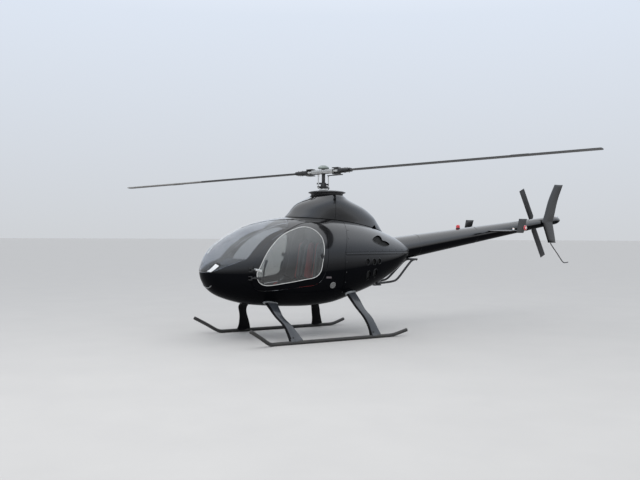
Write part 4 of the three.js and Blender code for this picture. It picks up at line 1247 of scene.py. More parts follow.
fit(merge("collective_bars", lever_bars), CONTROL_BLACK, "airframe", "control_black", "collective_levers")
fit(merge("control_grips", [*grips, *boots]), GRIP_RUBBER, "airframe", "control_black")
pedal_bars = [bent_bar("pedal_tube", ((1.300, -0.240, 0.575), (1.300, 0.240, 0.575)), 0.010)]
pads = []
for y in PEDAL_Y:
    pedal_bars.append(block("arm", (1.294, y - 0.008, 0.575), (1.306, y + 0.008, 0.700), 0.002))
    pads.append(block("pad", (1.288, y - 0.030, 0.640), (1.299, y + 0.030, 0.720), 0.003))
    pads += [
        block("rib", (1.2845, y - 0.026, z), (1.289, y + 0.026, z + 0.006), 0.001)
        for z in (0.650, 0.664, 0.678, 0.692, 0.706)
    ]
fit(merge("pedal_bars", pedal_bars), CONTROL_BLACK, "airframe", "control_black", "pedals")
fit(merge("pedal_pads", pads), GRIP_RUBBER, "airframe", "control_black")

# Engine: a cast flat four behind the bulkhead, out of sight under the cowls, so it stays a plain cast block.
CAST_ALLOY = finish(
    "cast_alloy", (0.22, 0.22, 0.22), (0.34, 0.34, 0.33), 18, (0.45, 0.65), 0.35, 260, Metallic=0.9,
)
paint(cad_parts["engine_block"], CAST_ALLOY)

# Tail boom: one tapering tube of riveted alloy sheet, painted with the rest, closed at the rear by a spun
# cap and stayed under the cowls by two bent steel tubes that run to a bracket below it.
BOOM_STATIONS = (-1.180, -1.5, -2.0, -2.6, -3.2, -3.8, -4.4, -4.740)
BOOM_BANDS = (-1.66, -2.86, -4.10, -4.715)
# Band across its width: distance along the boom, height over the tube
BAND_ROWS = ((-0.015, 0.0), (-0.013, 0.0012), (0.013, 0.0012), (0.015, 0.0))
RIVETS_ROUND = 28
# Distance behind the boom's end, share of the boom's radius there
CAP_ROWS = (
    (0.001, 1.0), (0.022, 0.995), (0.045, 0.97), (0.068, 0.925), (0.090, 0.86), (0.112, 0.77), (0.130, 0.675),
    (0.148, 0.55), (0.165, 0.41), (0.178, 0.27), (0.186, 0.12), (0.188, 0.02),
)
CAP_RISE = 0.06
BRACE_PATH = (
    (-0.820, 0.150, 0.700), (-1.160, 0.130, 0.728), (-1.230, 0.122, 0.752), (-1.545, 0.086, 1.030),
    (-1.600, 0.080, 1.046),
)
BRACE_RADIUS = 0.0165

BRACE_PAINT = finish("brace_paint", (0.010, 0.010, 0.011), (0.024, 0.024, 0.026), 14, (0.3, 0.5), 0.1, 420)

boom = crease(lofted("tail_boom_tube", boom_rings(BOOM_STATIONS, sides=96)), 50)
fit(boom, HIGH_LIT_PAINT, "airframe", "black_gloss_paint", "tail_boom")
band_parts, rivet_spots = [], []
for station in BOOM_BANDS:
    rings = [boom_rings((station + shift,), grow, 96)[0] for shift, grow in BAND_ROWS]
    band_parts.append(lofted("band", rings))
    z, radius = boom_at(station)
    for c, s in circle(RIVETS_ROUND, 0.5):
        out = Vector((0, c, s))
        rivet_spots.append((Vector((station + MAST_X, 0, z)) + out * (radius + 0.0012), out))
fit(crease(merge("boom_bands", band_parts), 30), HIGH_LIT_PAINT, "airframe", "black_gloss_paint")
fit(studs("boom_rivets", rivet_spots, 0.0032, 0.0012, 10), HIGH_LIT_PAINT, "airframe", "black_gloss_paint")
cap_rings = []
for back, share in CAP_ROWS:
    radius = BOOM_REAR[2] * share
    x, z = BOOM_REAR[0] - back, BOOM_REAR[1] + back * CAP_RISE
    cap_rings.append([(x, radius * c, z + radius * s) for c, s in circle(72)])
fit(crease(lofted("tail_cap_cone", cap_rings), 60), HIGH_LIT_PAINT, "airframe", "black_gloss_paint", "tail_cap")
tubes = []
for side, _ in SIDES:
    tubes.append(bent_bar("tube", [(x, side * y, z) for x, y, z in BRACE_PATH], BRACE_RADIUS, 24, 10))
    y = side * 0.150
    tubes.append(block("foot", (-0.900, y - 0.030, 0.672), (-0.780, y + 0.030, 0.690), 0.004))
bracket = block("bracket", (-1.640, -0.110, 1.036), (-1.500, 0.110, 1.062), 0.006)
trim(bracket, lofted("boom_bed", boom_rings((-1.3, -1.8), SEAM)))
tubes.append(bracket)
tubes += [
    round_bar("bolt", x, y, 1.028, 1.0365, 0.009, sides=6) for x in (-1.622, -1.518) for y in (-0.098, 0.098)
]
braces = merge("boom_brace_tubes", tubes)
fit(braces, BRACE_PAINT, "airframe", "brace_paint", "boom_braces")

# Tail surfaces: alloy aerofoils painted black. The fin stands on a stub on the port side of the boom and
# holds a bent steel stinger that guards the tail rotor. The stabilizer passes through the boom and carries
# an upright plate at each tip.
FOIL_STEPS = 18
END_TURNS = (0, 25, 45, 62, 76, 87)
# Fin from the top: height, leading edge, chord
FIN_ROWS = (
    (2.316, -4.683, 0.210), (2.040, -4.529, 0.232), (1.775, -4.427, 0.251), (1.700, -4.393, 0.258),
    (1.655, -4.372, 0.262), (1.610, -4.392, 0.253), (1.300, -4.527, 0.191),
)
FIN_Y, FIN_THICK = 0.100, 0.026
STABILIZER = {"x": -3.105, "z": 1.497, "span": 1.228, "chord": 0.245, "thick": 0.022}
# End plate from the bottom: height, leading edge, chord
PLATE_ROWS = ((1.462, -3.228, 0.156), (1.500, -3.236, 0.162), (1.540, -3.245, 0.167), (1.688, -3.281, 0.179))
PLATE_THICK = 0.010
STINGER_PATH = (
    (-4.592, 1.299), (-4.594, 1.284), (-4.607, 1.266), (-4.756, 1.114), (-4.905, 0.962), (-4.945, 0.948),
    (-5.040, 0.956),
)

STINGER_STEEL = finish(
    "stinger_steel", (0.05, 0.05, 0.052), (0.12, 0.12, 0.12), 22, (0.35, 0.55), 0.1, 500,
    Metallic=0.8,
)


def foil_ring():
    """A symmetrical aerofoil as shares of chord and thickness, from the nose over the top and back."""
    upper = []
    for k in range(FOIL_STEPS + 1):
        u = (1 - math.cos(math.pi * k / FOIL_STEPS)) / 2
        v = 5 * (0.2969 * math.sqrt(u) - 0.1260 * u - 0.3516 * u ** 2 + 0.2843 * u ** 3 - 0.1015 * u ** 4)
        upper.append((u, v))
    return upper + [(u, -v) for u, v in reversed(upper[1:])]


FOIL_RING = foil_ring()


def foil_form(name, sections, place=FROM_MAST):
    """A wing-shaped skin with rounded ends. A section is its nose, ways back and over, chord, thickness."""
    def rounded_end(last, before):
        """The sections that close an end, each slimmer than the one before it."""
        nose, back, over, chord, thick = last
        away = (Vector(nose) - Vector(before[0])).normalized()
        found = []
        for a in (math.radians(turn) for turn in END_TURNS):
            slim = math.cos(a)
            start = Vector(nose) - away * thick * 0.5 * (1 - math.sin(a))
            start += Vector(back) * thick * 0.3 * (1 - slim)
            found.append((start, back, over, chord - thick * 0.5 * (1 - slim), thick * slim))
        return found

    shown = rounded_end(sections[0], sections[1])[::-1] + list(sections[1:-1])
    shown += rounded_end(sections[-1], sections[-2])
    rings = [
        [Vector(nose) + Vector(back) * (u * chord) + Vector(over) * (v * thick) for u, v in FOIL_RING]
        for nose, back, over, chord, thick in shown
    ]
    return crease(lofted(name, rings, place), 60)


AFT, PORT, UP = (-1, 0, 0), (0, 1, 0), (0, 0, 1)
fin_line = curve_through(FIN_ROWS, 6, closed=False)
fin_skin = foil_form("fin_skin", [
    ((front, FIN_Y, z), AFT, PORT, chord, FIN_THICK) for z, front, chord in fin_line
])
stub = block("stub", (-4.600, 0.040, 1.580), (-4.500, FIN_Y, 1.720), 0.008)
trim(stub, lofted("stub_bed", boom_rings((-4.3, -4.7), SEAM)))
fit(merge("fin_and_stub", [fin_skin, stub]), HIGH_LIT_PAINT, "airframe", "black_gloss_paint", "fin")
stinger = bent_bar("stinger_bar", at_side(STINGER_PATH, FIN_Y), 0.0088, 18, 6)
fit(stinger, STINGER_STEEL, "airframe", "stinger_steel", "stinger")
half = STABILIZER["span"] / 2
tailplane = foil_form("tailplane", [
    ((STABILIZER["x"], y, STABILIZER["z"]), AFT, UP, STABILIZER["chord"], STABILIZER["thick"])
    for y in (-half, -0.2, 0.2, half)
])
plates = [
    foil_form("end_plate", [
        ((front, side * half, z), AFT, PORT, chord, PLATE_THICK)
        for z, front, chord in curve_through(PLATE_ROWS, 4, closed=False)
    ])
    for side, _ in SIDES
]
fit(
    merge("stabilizer_skins", [tailplane, *plates]), HIGH_LIT_PAINT, "airframe", "black_gloss_paint",
    "stabilizer",
)

# Lamps: a red flashing beacon in a fluted dome on the boom, coloured lamps on the end plates, and a clear
# one on the tail cap, each a moulded lens on a turned alloy base.
BEACON_X, BEACON_RADIUS, BEACON_HEIGHT = -2.550, 0.034, 0.062
FLUTES = 24
NAV_AT = (-3.412, 0.617, 1.542)
NAV_HALF_LENGTH, NAV_HALF_HEIGHT, NAV_OUT = 0.035, 0.043, 0.024
TAIL_LAMP_AT = (-4.860, 1.752, 1.773)
TIP_LAMP_AT = (-3.178, 0.596, 1.507)


def lens_finish(name, dark, pale):
    """Coloured or clear moulded plastic for a lamp."""
    return finish(
        name, dark, pale, 8, (0.05, 0.10), 0.0, Coat_Weight=1.0, Coat_Roughness=0.02,
        Subsurface_Weight=0.25,
    )


LENS_RED = lens_finish("red_lens", (0.40, 0.010, 0.016), (0.56, 0.018, 0.026))
LENS_GREEN = lens_finish("green_lens", (0.010, 0.26, 0.08), (0.018, 0.38, 0.12))
LENS_CLEAR = lens_finish("clear_lens", (0.62, 0.63, 0.62), (0.78, 0.79, 0.78))
BULB_PAINTED_HIGHLIGHT = lens_finish("lamp_bulb_painted_highlight", (0.72, 0.56, 0.56), (0.84, 0.68, 0.68))


def fluted_dome(name, profile, flutes, depth, place):
    """An upright lens whose side is rippled all round."""
    steps = 6
    rings = []
    for radius, z in profile:
        ring = []
        for k, (c, s) in enumerate(circle(flutes * steps)):
            size = radius * (1 - depth * (0.5 + 0.5 * math.cos(2 * math.pi * k / steps)))
            ring.append((size * c, size * s, z))
        rings.append(ring)
    return crease(lofted(name, rings, place), 70)


beacon_z, beacon_girth = boom_at(BEACON_X)
beacon_at = FROM_MAST @ Matrix.Translation((BEACON_X, 0, beacon_z + beacon_girth))
R, H = BEACON_RADIUS, BEACON_HEIGHT
dome = fluted_dome("beacon_dome", [
    (R * 0.90, 0.010), (R * 0.90, H * 0.62), (R * 0.84, H * 0.78), (R * 0.66, H * 0.92),
    (R * 0.36, H * 0.985), (R * 0.05, H),
], FLUTES, 0.05, beacon_at)
fit(dome, LENS_RED, "airframe", "lens_red", "beacon")
beacon_base = turned("beacon_base", [
    (AXIS, -0.020), (R * 0.97, -0.020), (R, -0.002), (R, 0.008), (R * 0.94, 0.011), (AXIS, 0.011),
], 48, beacon_at)
fit(crease(beacon_base, 40), SATIN_BLACK, "airframe", "black_gloss_paint")
for side, word, node, material, slot in (
    (1, "port", "nav_light_port", LENS_RED, "lens_red"),
    (-1, "starboard", "nav_light_starboard", LENS_GREEN, "lens_green"),
):
    x, y, z = NAV_AT
    shape = FROM_MAST @ Matrix.Translation((x, side * y, z)) @ Matrix.Rotation(-side * math.pi / 2, 4, "X")
    shape = shape @ Matrix.Diagonal((NAV_HALF_LENGTH, NAV_HALF_HEIGHT, 1, 1))
    lens = turned(f"nav_lens_{word}", [
        (0.01, 0.003), (0.93, 0.003), (0.97, 0.007), (0.93, 0.013), (0.80, 0.018), (0.55, 0.0222),
        (0.25, NAV_OUT), (0.01, NAV_OUT + 0.0004),
    ], 48, shape)
    fit(crease(lens, 70), material, "airframe", slot, node)
    base = turned(f"nav_base_{word}", [
        (0.01, -0.004), (1.0, -0.004), (1.0, 0.004), (0.95, 0.0055), (0.01, 0.0055),
    ], 48, shape)
    fit(crease(base, 40), BRIGHT_METAL, "airframe", "hub_silver")
    # A pale pink bulb whose top pokes through each lens: a painted highlight for the lamp's bright centre
    bulb_highlight = turned(f"nav_bulb_highlight_{word}", [
        (0.01, 0.020), (0.50, 0.020), (0.46, 0.0242), (0.30, 0.0256), (0.01, 0.0260),
    ], 40, shape)
    fit(crease(bulb_highlight, 70), BULB_PAINTED_HIGHLIGHT, "airframe", "lens_clear")
    tip_x, tip_y, tip_z = TIP_LAMP_AT
    tip_lamp = turned(f"tip_lamp_{word}", [
        (AXIS, tip_z - 0.004), (0.016, tip_z - 0.004), (0.016, tip_z + 0.018), (0.013, tip_z + 0.027),
        (0.006, tip_z + 0.032), (AXIS, tip_z + 0.033),
    ], 36, FROM_MAST, (tip_x, side * tip_y))
    fit(crease(tip_lamp, 60), LENS_CLEAR, "airframe", "lens_clear")
x, low, high = TAIL_LAMP_AT
tail_lens = turned("tail_lens", [
    (AXIS, low + 0.004), (0.0145, low + 0.004), (0.0145, high - 0.012), (0.012, high - 0.005),
    (0.006, high - 0.001), (AXIS, high),
], 40, FROM_MAST, (x, 0))
fit(crease(tail_lens, 60), LENS_CLEAR, "airframe", "lens_clear", "tail_light")
tail_base = turned("tail_lens_base", [
    (AXIS, low - 0.012), (0.017, low - 0.012), (0.017, low + 0.006), (AXIS, low + 0.008),
], 40, FROM_MAST, (x, 0))
fit(crease(tail_base, 40), SATIN_BLACK, "airframe", "black_gloss_paint")

# Landing gear: two round steel skids under sprung legs of flat aerofoil section, dark blue-grey, with matt
# black along their leading edges as a painted dark reflection and on their inner faces as painted shade. The
# legs come out of pale flanges in the belly and end in saddles bolted to the skids.

# Leg's middle line from the belly to the skid: distance out, height, station, chord, thickness
LEG_ROWS = {
    "front": (
        (0.150, 0.570, 1.000, 0.200, 0.034), (0.300, 0.508, 1.006, 0.178, 0.034),
        (0.420, 0.452, 1.022, 0.158, 0.032), (0.500, 0.400, 1.026, 0.140, 0.031),
        (0.542, 0.350, 1.012, 0.124, 0.030), (0.588, 0.300, 0.984, 0.118, 0.030),
        (0.638, 0.250, 0.952, 0.126, 0.030), (0.675, 0.200, 0.927, 0.142, 0.030),
        (0.708, 0.145, 0.906, 0.164, 0.029), (0.742, 0.092, 0.890, 0.186, 0.029),
        (0.768, 0.058, 0.882, 0.206, 0.034), (0.777, 0.034, 0.880, 0.214, 0.056),
    ),
    "rear": (
        (0.250, 0.690, -0.235, 0.186, 0.034), (0.380, 0.596, -0.224, 0.172, 0.034),
        (0.500, 0.506, -0.221, 0.164, 0.032), (0.562, 0.450, -0.223, 0.152, 0.031),
        (0.608, 0.400, -0.234, 0.140, 0.030), (0.646, 0.350, -0.258, 0.138, 0.030),
        (0.682, 0.300, -0.286, 0.146, 0.030), (0.708, 0.250, -0.308, 0.150, 0.030),
        (0.728, 0.200, -0.326, 0.150, 0.030), (0.746, 0.145, -0.344, 0.158, 0.029),
        (0.762, 0.092, -0.358, 0.172, 0.029), (0.773, 0.058, -0.367, 0.188, 0.034),
        (0.778, 0.034, -0.370, 0.196, 0.056),
    ),
}
FLANGE_REACH = {"front": 0.46, "rear": 0.52}
FLANGE_GROW, FLANGE_DROP = 0.014, 0.026
EDGE_SHADE_BAND = 0.029
INNER_FACE_SHADE = -0.2
FOOT_BOLT_HEIGHT, FOOT_BOLT_AHEAD = 0.088, 0.035
# Skid's axis: station, distance out, height
SKID_PATH = (
    (1.600, 0.909, 0.226), (1.440, 0.855, 0.134), (1.290, 0.801, 0.042), (1.240, 0.785, 0.026),
    (1.190, 0.781, 0.0243), (1.100, 0.781, 0.0243), (-0.520, 0.781, 0.0243), (-0.600, 0.781, 0.0243),
    (-0.680, 0.786, 0.032), (-0.890, 0.809, 0.090),
)
SKID_RADIUS = 0.0243

LEG_PAINT = finish(
    "leg_paint", (0.022, 0.025, 0.030), (0.034, 0.038, 0.045), 6, (0.28, 0.42), 0.05, 300,
    Coat_Weight=0.4, Coat_Roughness=0.15,
)
SKID_PAINT = finish("skid_paint", (0.014, 0.0135, 0.013), (0.036, 0.034, 0.031), 9, (0.35, 0.6), 0.12, 260)
EDGE_AND_INNER_SHADE_BLACK = finish(
    "leg_edge_and_inner_shade", (0.002, 0.002, 0.0025), (0.005, 0.005, 0.006), 20, (0.6, 0.8), 0.1, 500,
    Specular_IOR_Level=0.12,
)
FLANGE_GREY = finish("leg_flange", (0.26, 0.27, 0.28), (0.36, 0.37, 0.37), 20, (0.4, 0.55), 0.08, 400)
BARE_STEEL = finish(
    "bare_steel", (0.20, 0.19, 0.18), (0.42, 0.41, 0.39), 30, (0.3, 0.5), 0.15, 700, Metallic=1.0,
)


def leg_rings(side, rows, grow=0.0):
    """Aerofoil rings along a leg's middle line, each square to the line as seen from the front."""
    rings = []
    for i, (out, z, station, chord, thick) in enumerate(rows):
        ahead, behind = rows[min(i + 1, len(rows) - 1)], rows[max(i - 1, 0)]
        run = Vector((ahead[0] - behind[0], ahead[1] - behind[1])).normalized()
        nose = Vector((station + chord / 2 + grow, side * out, z))
        over = Vector((0, -side * run.y, run.x)) * (thick + 2 * grow)
        rings.append([nose + Vector(AFT) * (u * (chord + 2 * grow)) + over * v for u, v in FOIL_RING])
    return rings


for side, word in SIDES:
    skid_line = [(x, side * y, z) for x, y, z in SKID_PATH]
    skid = bent_bar(f"skid_tube_{word}", skid_line, SKID_RADIUS, 36, 8)
    fit(skid, SKID_PAINT, "airframe", "skid_paint", f"skid_{word}")
    hard = [block("shoe", (x0, side * 0.781 - 0.013, -0.0004), (x1, side * 0.781 + 0.013, 0.006), 0.001)
            for x0, x1 in ((1.02, 1.18), (-0.58, -0.42))]
    fit(merge(f"skid_shoes_{word}", hard), BARE_STEEL, "airframe", "skid_paint")
    for end, rows in LEG_ROWS.items():
        fine = curve_through(rows, 4, closed=False)
        leg = lofted(f"leg_{end}_{word}_blade", leg_rings(side, fine))
        trim(leg, pod_cover, keep=True)
        trim(leg, bent_bar("skid_bed", skid_line, SKID_RADIUS + SEAM, 36, 8))
        crease(leg, 60)
        heights = [row[1] for row in fine[::-1]]
        noses = [MAST_X + row[2] + row[3] / 2 for row in fine[::-1]]
        # Black along the leading edge is a painted dark reflection, and black on the inner faces is painted
        # shade
        paint_two(leg, LEG_PAINT, EDGE_AND_INNER_SHADE_BLACK, lambda face: (
            face.normal.y * side < INNER_FACE_SHADE
            or np.interp(face.center.z, heights, noses) - face.center.x < EDGE_SHADE_BAND
        ))
        fit(leg, None, "airframe", "leg_paint", f"leg_{end}_{word}")
        flange = lofted(f"leg_flange_{end}_{word}", leg_rings(
            side, [row for row in fine if row[0] < FLANGE_REACH[end]], FLANGE_GROW))
        trim(flange, pod_cover, keep=True)
        trim(flange, pod_form("flange_reach", -FLANGE_DROP), "INTERSECT")
        fit(crease(flange, 50), FLANGE_GREY, "airframe", "leg_paint")
        foot = on_skin(guide_of(leg), rows[-2][2] + FOOT_BOLT_AHEAD, FOOT_BOLT_HEIGHT, side)
        bolt_at = facing_out(*foot)
        bolt = merge(f"foot_bolt_{end}_{word}", [
            round_bar("washer", 0, 0, -0.002, 0.002, 0.013, bolt_at),
            round_bar("bolt_head", 0, 0, 0.002, 0.009, 0.009, bolt_at, sides=6),
        ])
        fit(bolt, SATIN_BLACK, "airframe", "mast_dark")

# Rotor mast and controls: a dark steel shaft in a bright fixed sleeve under a green cap, and round it a
# swashplate with two bright push rods that stand under the blades' pitch horns.
HUB_HEIGHT = 2.317
BLADE_AZIMUTH = math.radians(117.56)
TEETER_REST = math.radians(1.78)
TEETER_AZIMUTH = BLADE_AZIMUTH - math.pi / 2
LINK_OUT = 0.140

DARK_METAL = finish(
    "mast_enamel", (0.018, 0.018, 0.019), (0.036, 0.036, 0.037), 18, (0.3, 0.48), 0.08, 420,
    Metallic=0.35,
)
CAP_GREEN = finish(
    "mast_cap_enamel", (0.150, 0.175, 0.160), (0.220, 0.250, 0.232), 18, (0.3, 0.45), 0.08, 420,
)
CROWN_GREEN = finish(
    "mast_crown_enamel", (0.016, 0.030, 0.024), (0.026, 0.046, 0.037), 18, (0.3, 0.4), 0.06, 420,
)

sleeve = turned("mast_base_ring", [
    (0.034, 2.047), (0.064, 2.047), (0.066, 2.049), (0.066, 2.065), (0.064, 2.067), (0.058, 2.068),
    (0.0565, 2.0745), (0.055, 2.076), (0.034, 2.076),
], 72)
fit(crease(sleeve, 35), BRIGHT_METAL, "airframe", "hub_silver", "mast_sleeve")
shaft = turned("mast_shaft", [
    (AXIS, 1.890), (0.025, 1.890), (0.025, 2.276), (0.030, 2.282), (0.030, 2.352), (0.026, 2.356),
    (0.026, 2.366), (AXIS, 2.366),
], 64)
fit(crease(shaft, 35), DARK_METAL, "rotor_mast", "mast_dark", "mast")
mast_cap = turned("mast_cap", [
    (0.0265, 2.3585), (0.072, 2.3585), (0.0800, 2.362), (0.0800, 2.374), (0.077, 2.381), (0.068, 2.389),
    (0.054, 2.396), (AXIS, 2.397), (AXIS, 2.3665), (0.0265, 2.3665),
], 64)
fit(crease(mast_cap, 40), CAP_GREEN, "rotor_mast", "mast_dark")
crown = turned("mast_cap_crown", [
    (AXIS, 2.3965), (0.050, 2.3965), (0.047, 2.4005), (0.034, 2.4045), (0.014, 2.4062), (AXIS, 2.4065),
], 48)
fit(crease(crown, 60), CROWN_GREEN, "rotor_mast", "mast_dark")
plate_parts = [
    turned("ring", [
        (0.0256, 2.082), (0.064, 2.082), (0.066, 2.084), (0.066, 2.0925), (0.0625, 2.094), (0.0625, 2.098),
        (0.066, 2.0995), (0.066, 2.108), (0.064, 2.110), (0.043, 2.113), (0.040, 2.117), (0.040, 2.156),
        (0.037, 2.160), (0.0256, 2.164),
    ], 72)
]
drive_at = FROM_MAST @ Matrix.Rotation(BLADE_AZIMUTH, 4, "Z")
plate_parts.append(block("drive_arm", (-0.106, -0.013, 2.140), (-0.030, 0.013, 2.164), 0.005, drive_at))
plate_parts.append(block("drive_arm", (0.030, -0.013, 2.120), (0.082, 0.013, 2.144), 0.005, drive_at))
arm_at = FROM_MAST @ Matrix.Rotation(TEETER_AZIMUTH, 4, "Z")
rods = []
for way in (1, -1):
    ends = on_side(way, 0.056, 0.152)
    plate_parts.append(block("arm", (ends[0], -0.014, 2.0845), (ends[1], 0.014, 2.1015), 0.004, arm_at))
    rod = arm_at @ Matrix.Translation((way * LINK_OUT, 0, 0))
    rods.append(round_bar("rod", 0, 0, 2.074, 2.262, 0.0085, rod))
    for z in (2.1035, 2.244):
        rods.append(round_bar("lock_nut", 0, 0, z, z + 0.006, 0.0118, rod, sides=6))
    for z in (2.079, 2.263):
        ball = [
            (AXIS, z - 0.0125), (0.007, z - 0.0105), (0.0115, z - 0.005), (0.0125, z), (0.0115, z + 0.005),
            (0.007, z + 0.0105), (AXIS, z + 0.0125),
        ]
        rods.append(turned("rod_end", ball, 24, rod))
fit(
    crease(merge("swashplate_parts", plate_parts), 40), DARK_METAL, "rotor_mast", "mast_dark",
    "swashplate_and_links",
)
fit(crease(merge("push_rods", rods), 40), BRIGHT_METAL, "rotor_mast", "hub_silver")

# Rotor head: a rocking hub milled from bright alloy on a cross pin, with two black forked grips round bright
# bearing housings. They hold the blade roots by upright bolts, and each has a pitch horn on its leading side.
HEAD = FROM_MAST @ Matrix.Translation((0, 0, HUB_HEIGHT)) @ Matrix.Rotation(BLADE_AZIMUTH, 4, "Z")
HEAD = HEAD @ Matrix.Rotation(-TEETER_REST, 4, "Y")
HUB_HALF = 0.172
# Grip from its root: distance out, width, thickness
GRIP_ROWS = (
    (0.254, 0.090, 0.092), (0.262, 0.096, 0.100), (0.270, 0.094, 0.080), (0.280, 0.092, 0.071),
    (0.340, 0.112, 0.066), (0.438, 0.150, 0.052),
)
FORK_ROOT, FORK_HALF_WIDTH, FORK_INSIDE, FORK_OUTSIDE = 0.165, 0.048, 0.037, 0.050
# Blade bolt: distance out, place across, height of its seat
BLADE_BOLTS = ((0.352, 0.0, 0.031), (0.404, 0.030, 0.0265), (0.404, -0.030, 0.0265))
HUB_SILVER = finish("hub_silver", (0.44, 0.44, 0.43), (0.60, 0.60, 0.58), 26, (0.22, 0.38), 0.04, 600,
                    stretch=(1, 1, 4), Metallic=1.0)
GRIP_BLACK = finish("grip_black", (0.011, 0.011, 0.012), (0.022, 0.022, 0.023), 16, (0.35, 0.5), 0.1, 460)

hub_parts = [
    block("cheek", (-HUB_HALF, y - 0.008, -0.028), (HUB_HALF, y + 0.008, 0.026), 0.003, HEAD)
    for y in (0.044, -0.044)
]
for way in (1, -1):
    ends = on_side(way, 0.096, HUB_HALF)
    hub_parts.append(block("yoke_end", (ends[0], -0.040, -0.026), (ends[1], 0.040, 0.024), 0.004, HEAD))
    ends = on_side(way, 0.040, HUB_HALF)
    for side in (1, -1):
        wing = on_side(side, 0.050, 0.060)
        hub_parts.append(block("flange", (ends[0], wing[0], -0.006), (ends[1], wing[1], 0.006), 0.002, HEAD))
        pin_turn = HEAD @ Matrix.Rotation(-side * math.pi / 2, 4, "X")
        if way > 0:
            hub_parts.append(turned("bearing_cap", [
                (0.0115, 0.050), (0.026, 0.050), (0.026, 0.056), (0.023, 0.0585), (0.0115, 0.0585),
            ], 40, pin_turn))
fit(crease(merge("rotor_hub_yoke", hub_parts), 40), HUB_SILVER, "rotor_head", "hub_silver", "rotor_hub")
hub_bolts = [
    round_bar("bolt", way * x, y, 0.0235, 0.031, 0.0075, HEAD, sides=6)
    for way in (1, -1) for x in (0.114, 0.152) for y in (-0.024, 0.024)
]
fit(merge("hub_bolts", hub_bolts), DARK_METAL, "rotor_head", "mast_dark")

# Main blades: bonded alloy skins over an extruded nose, satin black and rounded off at the tip, with a bare
# metal strip along the outer leading edge and a small trim tab on the trailing one.
ROTOR_RADIUS, BLADE_CHORD, BLADE_THICK, BLADE_ROOT = 3.812, 0.200, 0.026, 0.440
BLADE_ROWS = (
    (BLADE_ROOT, 0.150), (0.480, 0.162), (0.520, 0.176), (0.560, 0.190), (0.600, BLADE_CHORD),
    (1.2, BLADE_CHORD), (2.2, BLADE_CHORD), (3.4, BLADE_CHORD), (ROTOR_RADIUS, BLADE_CHORD),
)
# Share of a blade's chord ahead of its axis
AXIS_BACK = 0.35
STRIP_OUT = 1.9
STRIP_CHORD = 0.016
BLADE_PAINT = finish(
    "blade_paint", (0.014, 0.014, 0.015), (0.030, 0.030, 0.032), 3, (0.34, 0.5), 0.04, 300,
    stretch=(0.3, 0.3, 3),
)
for turn, number in ((0, 1), (math.pi, 2)):
    arm = HEAD @ Matrix.Rotation(turn, 4, "Z")
    rings = []
    for out, wide, thick in curve_through(GRIP_ROWS, 4, closed=False):
        rings.append([
            (out, wide / 2 * math.copysign(abs(c) ** 0.6, c), thick / 2 * math.copysign(abs(s) ** 0.75, s))
            for c, s in circle(40, 0.5)
        ])
    grip_parts = [crease(lofted("grip", rings, arm), 40)]
    for low, high in ((FORK_INSIDE, FORK_OUTSIDE), (-FORK_OUTSIDE, -FORK_INSIDE)):
        lip = (FORK_ROOT, -FORK_HALF_WIDTH, low), (0.262, FORK_HALF_WIDTH, high)
        grip_parts.append(block("fork", *lip, 0.004, arm))
    along_arm = arm @ Matrix.Rotation(math.pi / 2, 4, "Y")
    housing = turned(f"grip_bearing_{number}", [
        (AXIS, 0.1735), (0.030, 0.1735), (0.034, 0.176), (0.034, 0.196), (0.031, 0.198), (0.031, 0.210),
        (0.034, 0.212), (0.034, 0.258), (AXIS, 0.258),
    ], 48, along_arm)
    fit(crease(housing, 35), HUB_SILVER, "rotor_head", "hub_silver")
    grip_parts += [
        block("horn", low, high, 0.003, arm)
        for low, high in (
            ((0.196, 0.040, -0.050), (0.232, 0.158, -0.038)),
            ((-0.014, 0.128, -0.050), (0.232, 0.158, -0.038)),
        )
    ]
    fit(
        merge(f"blade_grip_{number}_forging", grip_parts), GRIP_BLACK, "rotor_head", "grip_black",
        f"blade_grip_{number}",
    )
    bolts = [
        round_bar("bolt", x, y, low, low + 0.013, 0.0085, arm, sides=6)
        for x, y, seat in BLADE_BOLTS for low in (seat - 0.004, -seat - 0.009)
    ]
    fit(merge(f"blade_bolts_{number}", bolts), BARE_STEEL, "rotor_head", "hub_silver")
    skin = foil_form(f"main_blade_{number}_skin", [
        ((out, chord * AXIS_BACK, 0), (0, -1, 0), UP, chord, BLADE_THICK) for out, chord in BLADE_ROWS
    ], arm)
    tab = block("tab", (2.76, -0.150, -0.0012), (2.98, -0.128, 0.0012), 0.0004, arm)
    blade = merge(f"main_blade_{number}_blade", [skin, tab])
    home = arm.inverted()
    edge = BLADE_CHORD * AXIS_BACK - STRIP_CHORD
    paint_two(blade, BLADE_PAINT, BARE_STEEL, lambda face: (
        (home @ face.center).y > edge and (home @ face.center).x > STRIP_OUT
    ))
    fit(blade, None, "rotor_head", "blade_paint", f"main_blade_{number}")

# Tail rotor: two wide satin blades clamped in a small rocking hub on the gearbox's output shaft, with a
# sliding collar and two short links that change their pitch.
TAIL_ROTOR_AT = (-4.466, -0.205, 1.640)
TAIL_LEAN = math.radians(26.6)
TAIL_BLADE_ROWS = (
    (0.054, 0.060, 0.026), (0.080, 0.096, 0.022), (0.110, 0.125, 0.016), (0.300, 0.125, 0.014),
    (0.640, 0.125, 0.012),
)

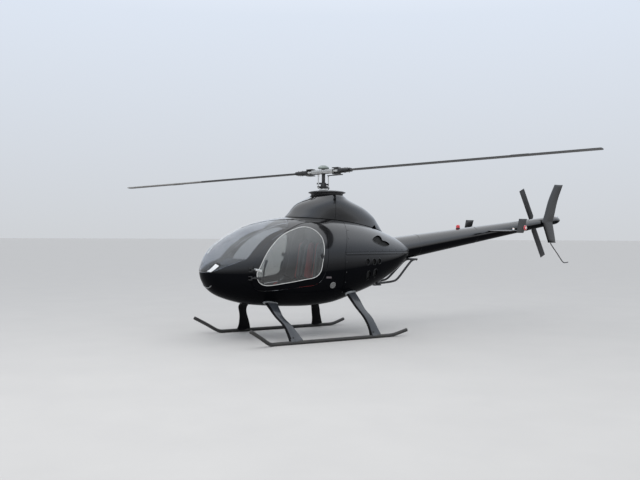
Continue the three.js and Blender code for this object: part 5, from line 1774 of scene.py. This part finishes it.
x, _, z = TAIL_ROTOR_AT
case_at = FROM_MAST @ Matrix.Translation((x, 0, z)) @ Matrix.Rotation(math.pi / 2, 4, "X")
case = turned("tail_gearbox_case", [
    (AXIS, 0.060), (0.054, 0.060), (0.054, 0.078), (0.058, 0.080), (0.058, 0.090), (0.054, 0.092),
    (0.050, 0.096), (0.047, 0.140), (0.050, 0.144), (0.050, 0.152), (0.040, 0.158), (AXIS, 0.160),
], 56, case_at)
trim(case, lofted("gearbox_bed", boom_rings((-4.3, -4.6), SEAM)))
fit(crease(case, 35), CAST_ALLOY, "airframe", "gearbox_alloy", "tail_gearbox")
case_bolts = [
    round_bar("bolt", 0.0535 * c, 0.0535 * s, 0.088, 0.095, 0.0042, case_at, sides=6) for c, s in circle(12)
]
fit(merge("gearbox_bolts", case_bolts), BARE_STEEL, "airframe", "hub_silver")
DISC = FROM_MAST @ Matrix.Translation(TAIL_ROTOR_AT) @ Matrix.Rotation(TAIL_LEAN, 4, "Y")
shaft_turn = DISC @ Matrix.Rotation(-math.pi / 2, 4, "X")
tail_parts = [
    turned("hub", [
        (AXIS, -0.023), (0.036, -0.023), (0.040, -0.019), (0.040, 0.019), (0.036, 0.023), (0.015, 0.025),
        (0.015, 0.041), (AXIS, 0.041),
    ], 48, shaft_turn),
    turned("nut", [
        (AXIS, -0.036), (0.012, -0.036), (0.016, -0.032), (0.016, -0.022), (AXIS, -0.022),
    ], 6, shaft_turn),
    block("yoke", (-0.024, -0.014, -0.080), (0.024, 0.014, 0.080), 0.004, DISC),
]
for way in (1, -1):
    link_path = ((way * 0.030, 0.010, way * 0.020), (way * 0.044, 0.002, way * 0.088))
    tail_parts.append(bent_bar("link", link_path, 0.0045, 12, 3, DISC))
    clamp = DISC @ Matrix.Translation((0, 0, way * 0.066)) @ Matrix.Rotation(math.pi / 2, 4, "X")
    tail_parts += [
        round_bar("bolt", x, 0, low, high, 0.007, clamp, sides=6)
        for x in (-0.013, 0.013) for low, high in ((0.012, 0.019), (-0.019, -0.012))
    ]
tail_blades = [
    foil_form("tail_blade", [
        ((way * chord * AXIS_BACK, 0, way * out), (-way, 0, 0), PORT, chord, thick)
        for out, chord, thick in TAIL_BLADE_ROWS
    ], DISC)
    for way in (1, -1)
]
fit(merge("tail_rotor_blades", tail_blades), BLADE_PAINT, "tail_rotor", "blade_paint", "tail_rotor")
fit(crease(merge("tail_rotor_head", tail_parts), 40), DARK_METAL, "tail_rotor", "mast_dark")

for guide in (*pod_forms, pod_skin, glass_skin, cabin_room):
    bpy.data.objects.remove(guide)
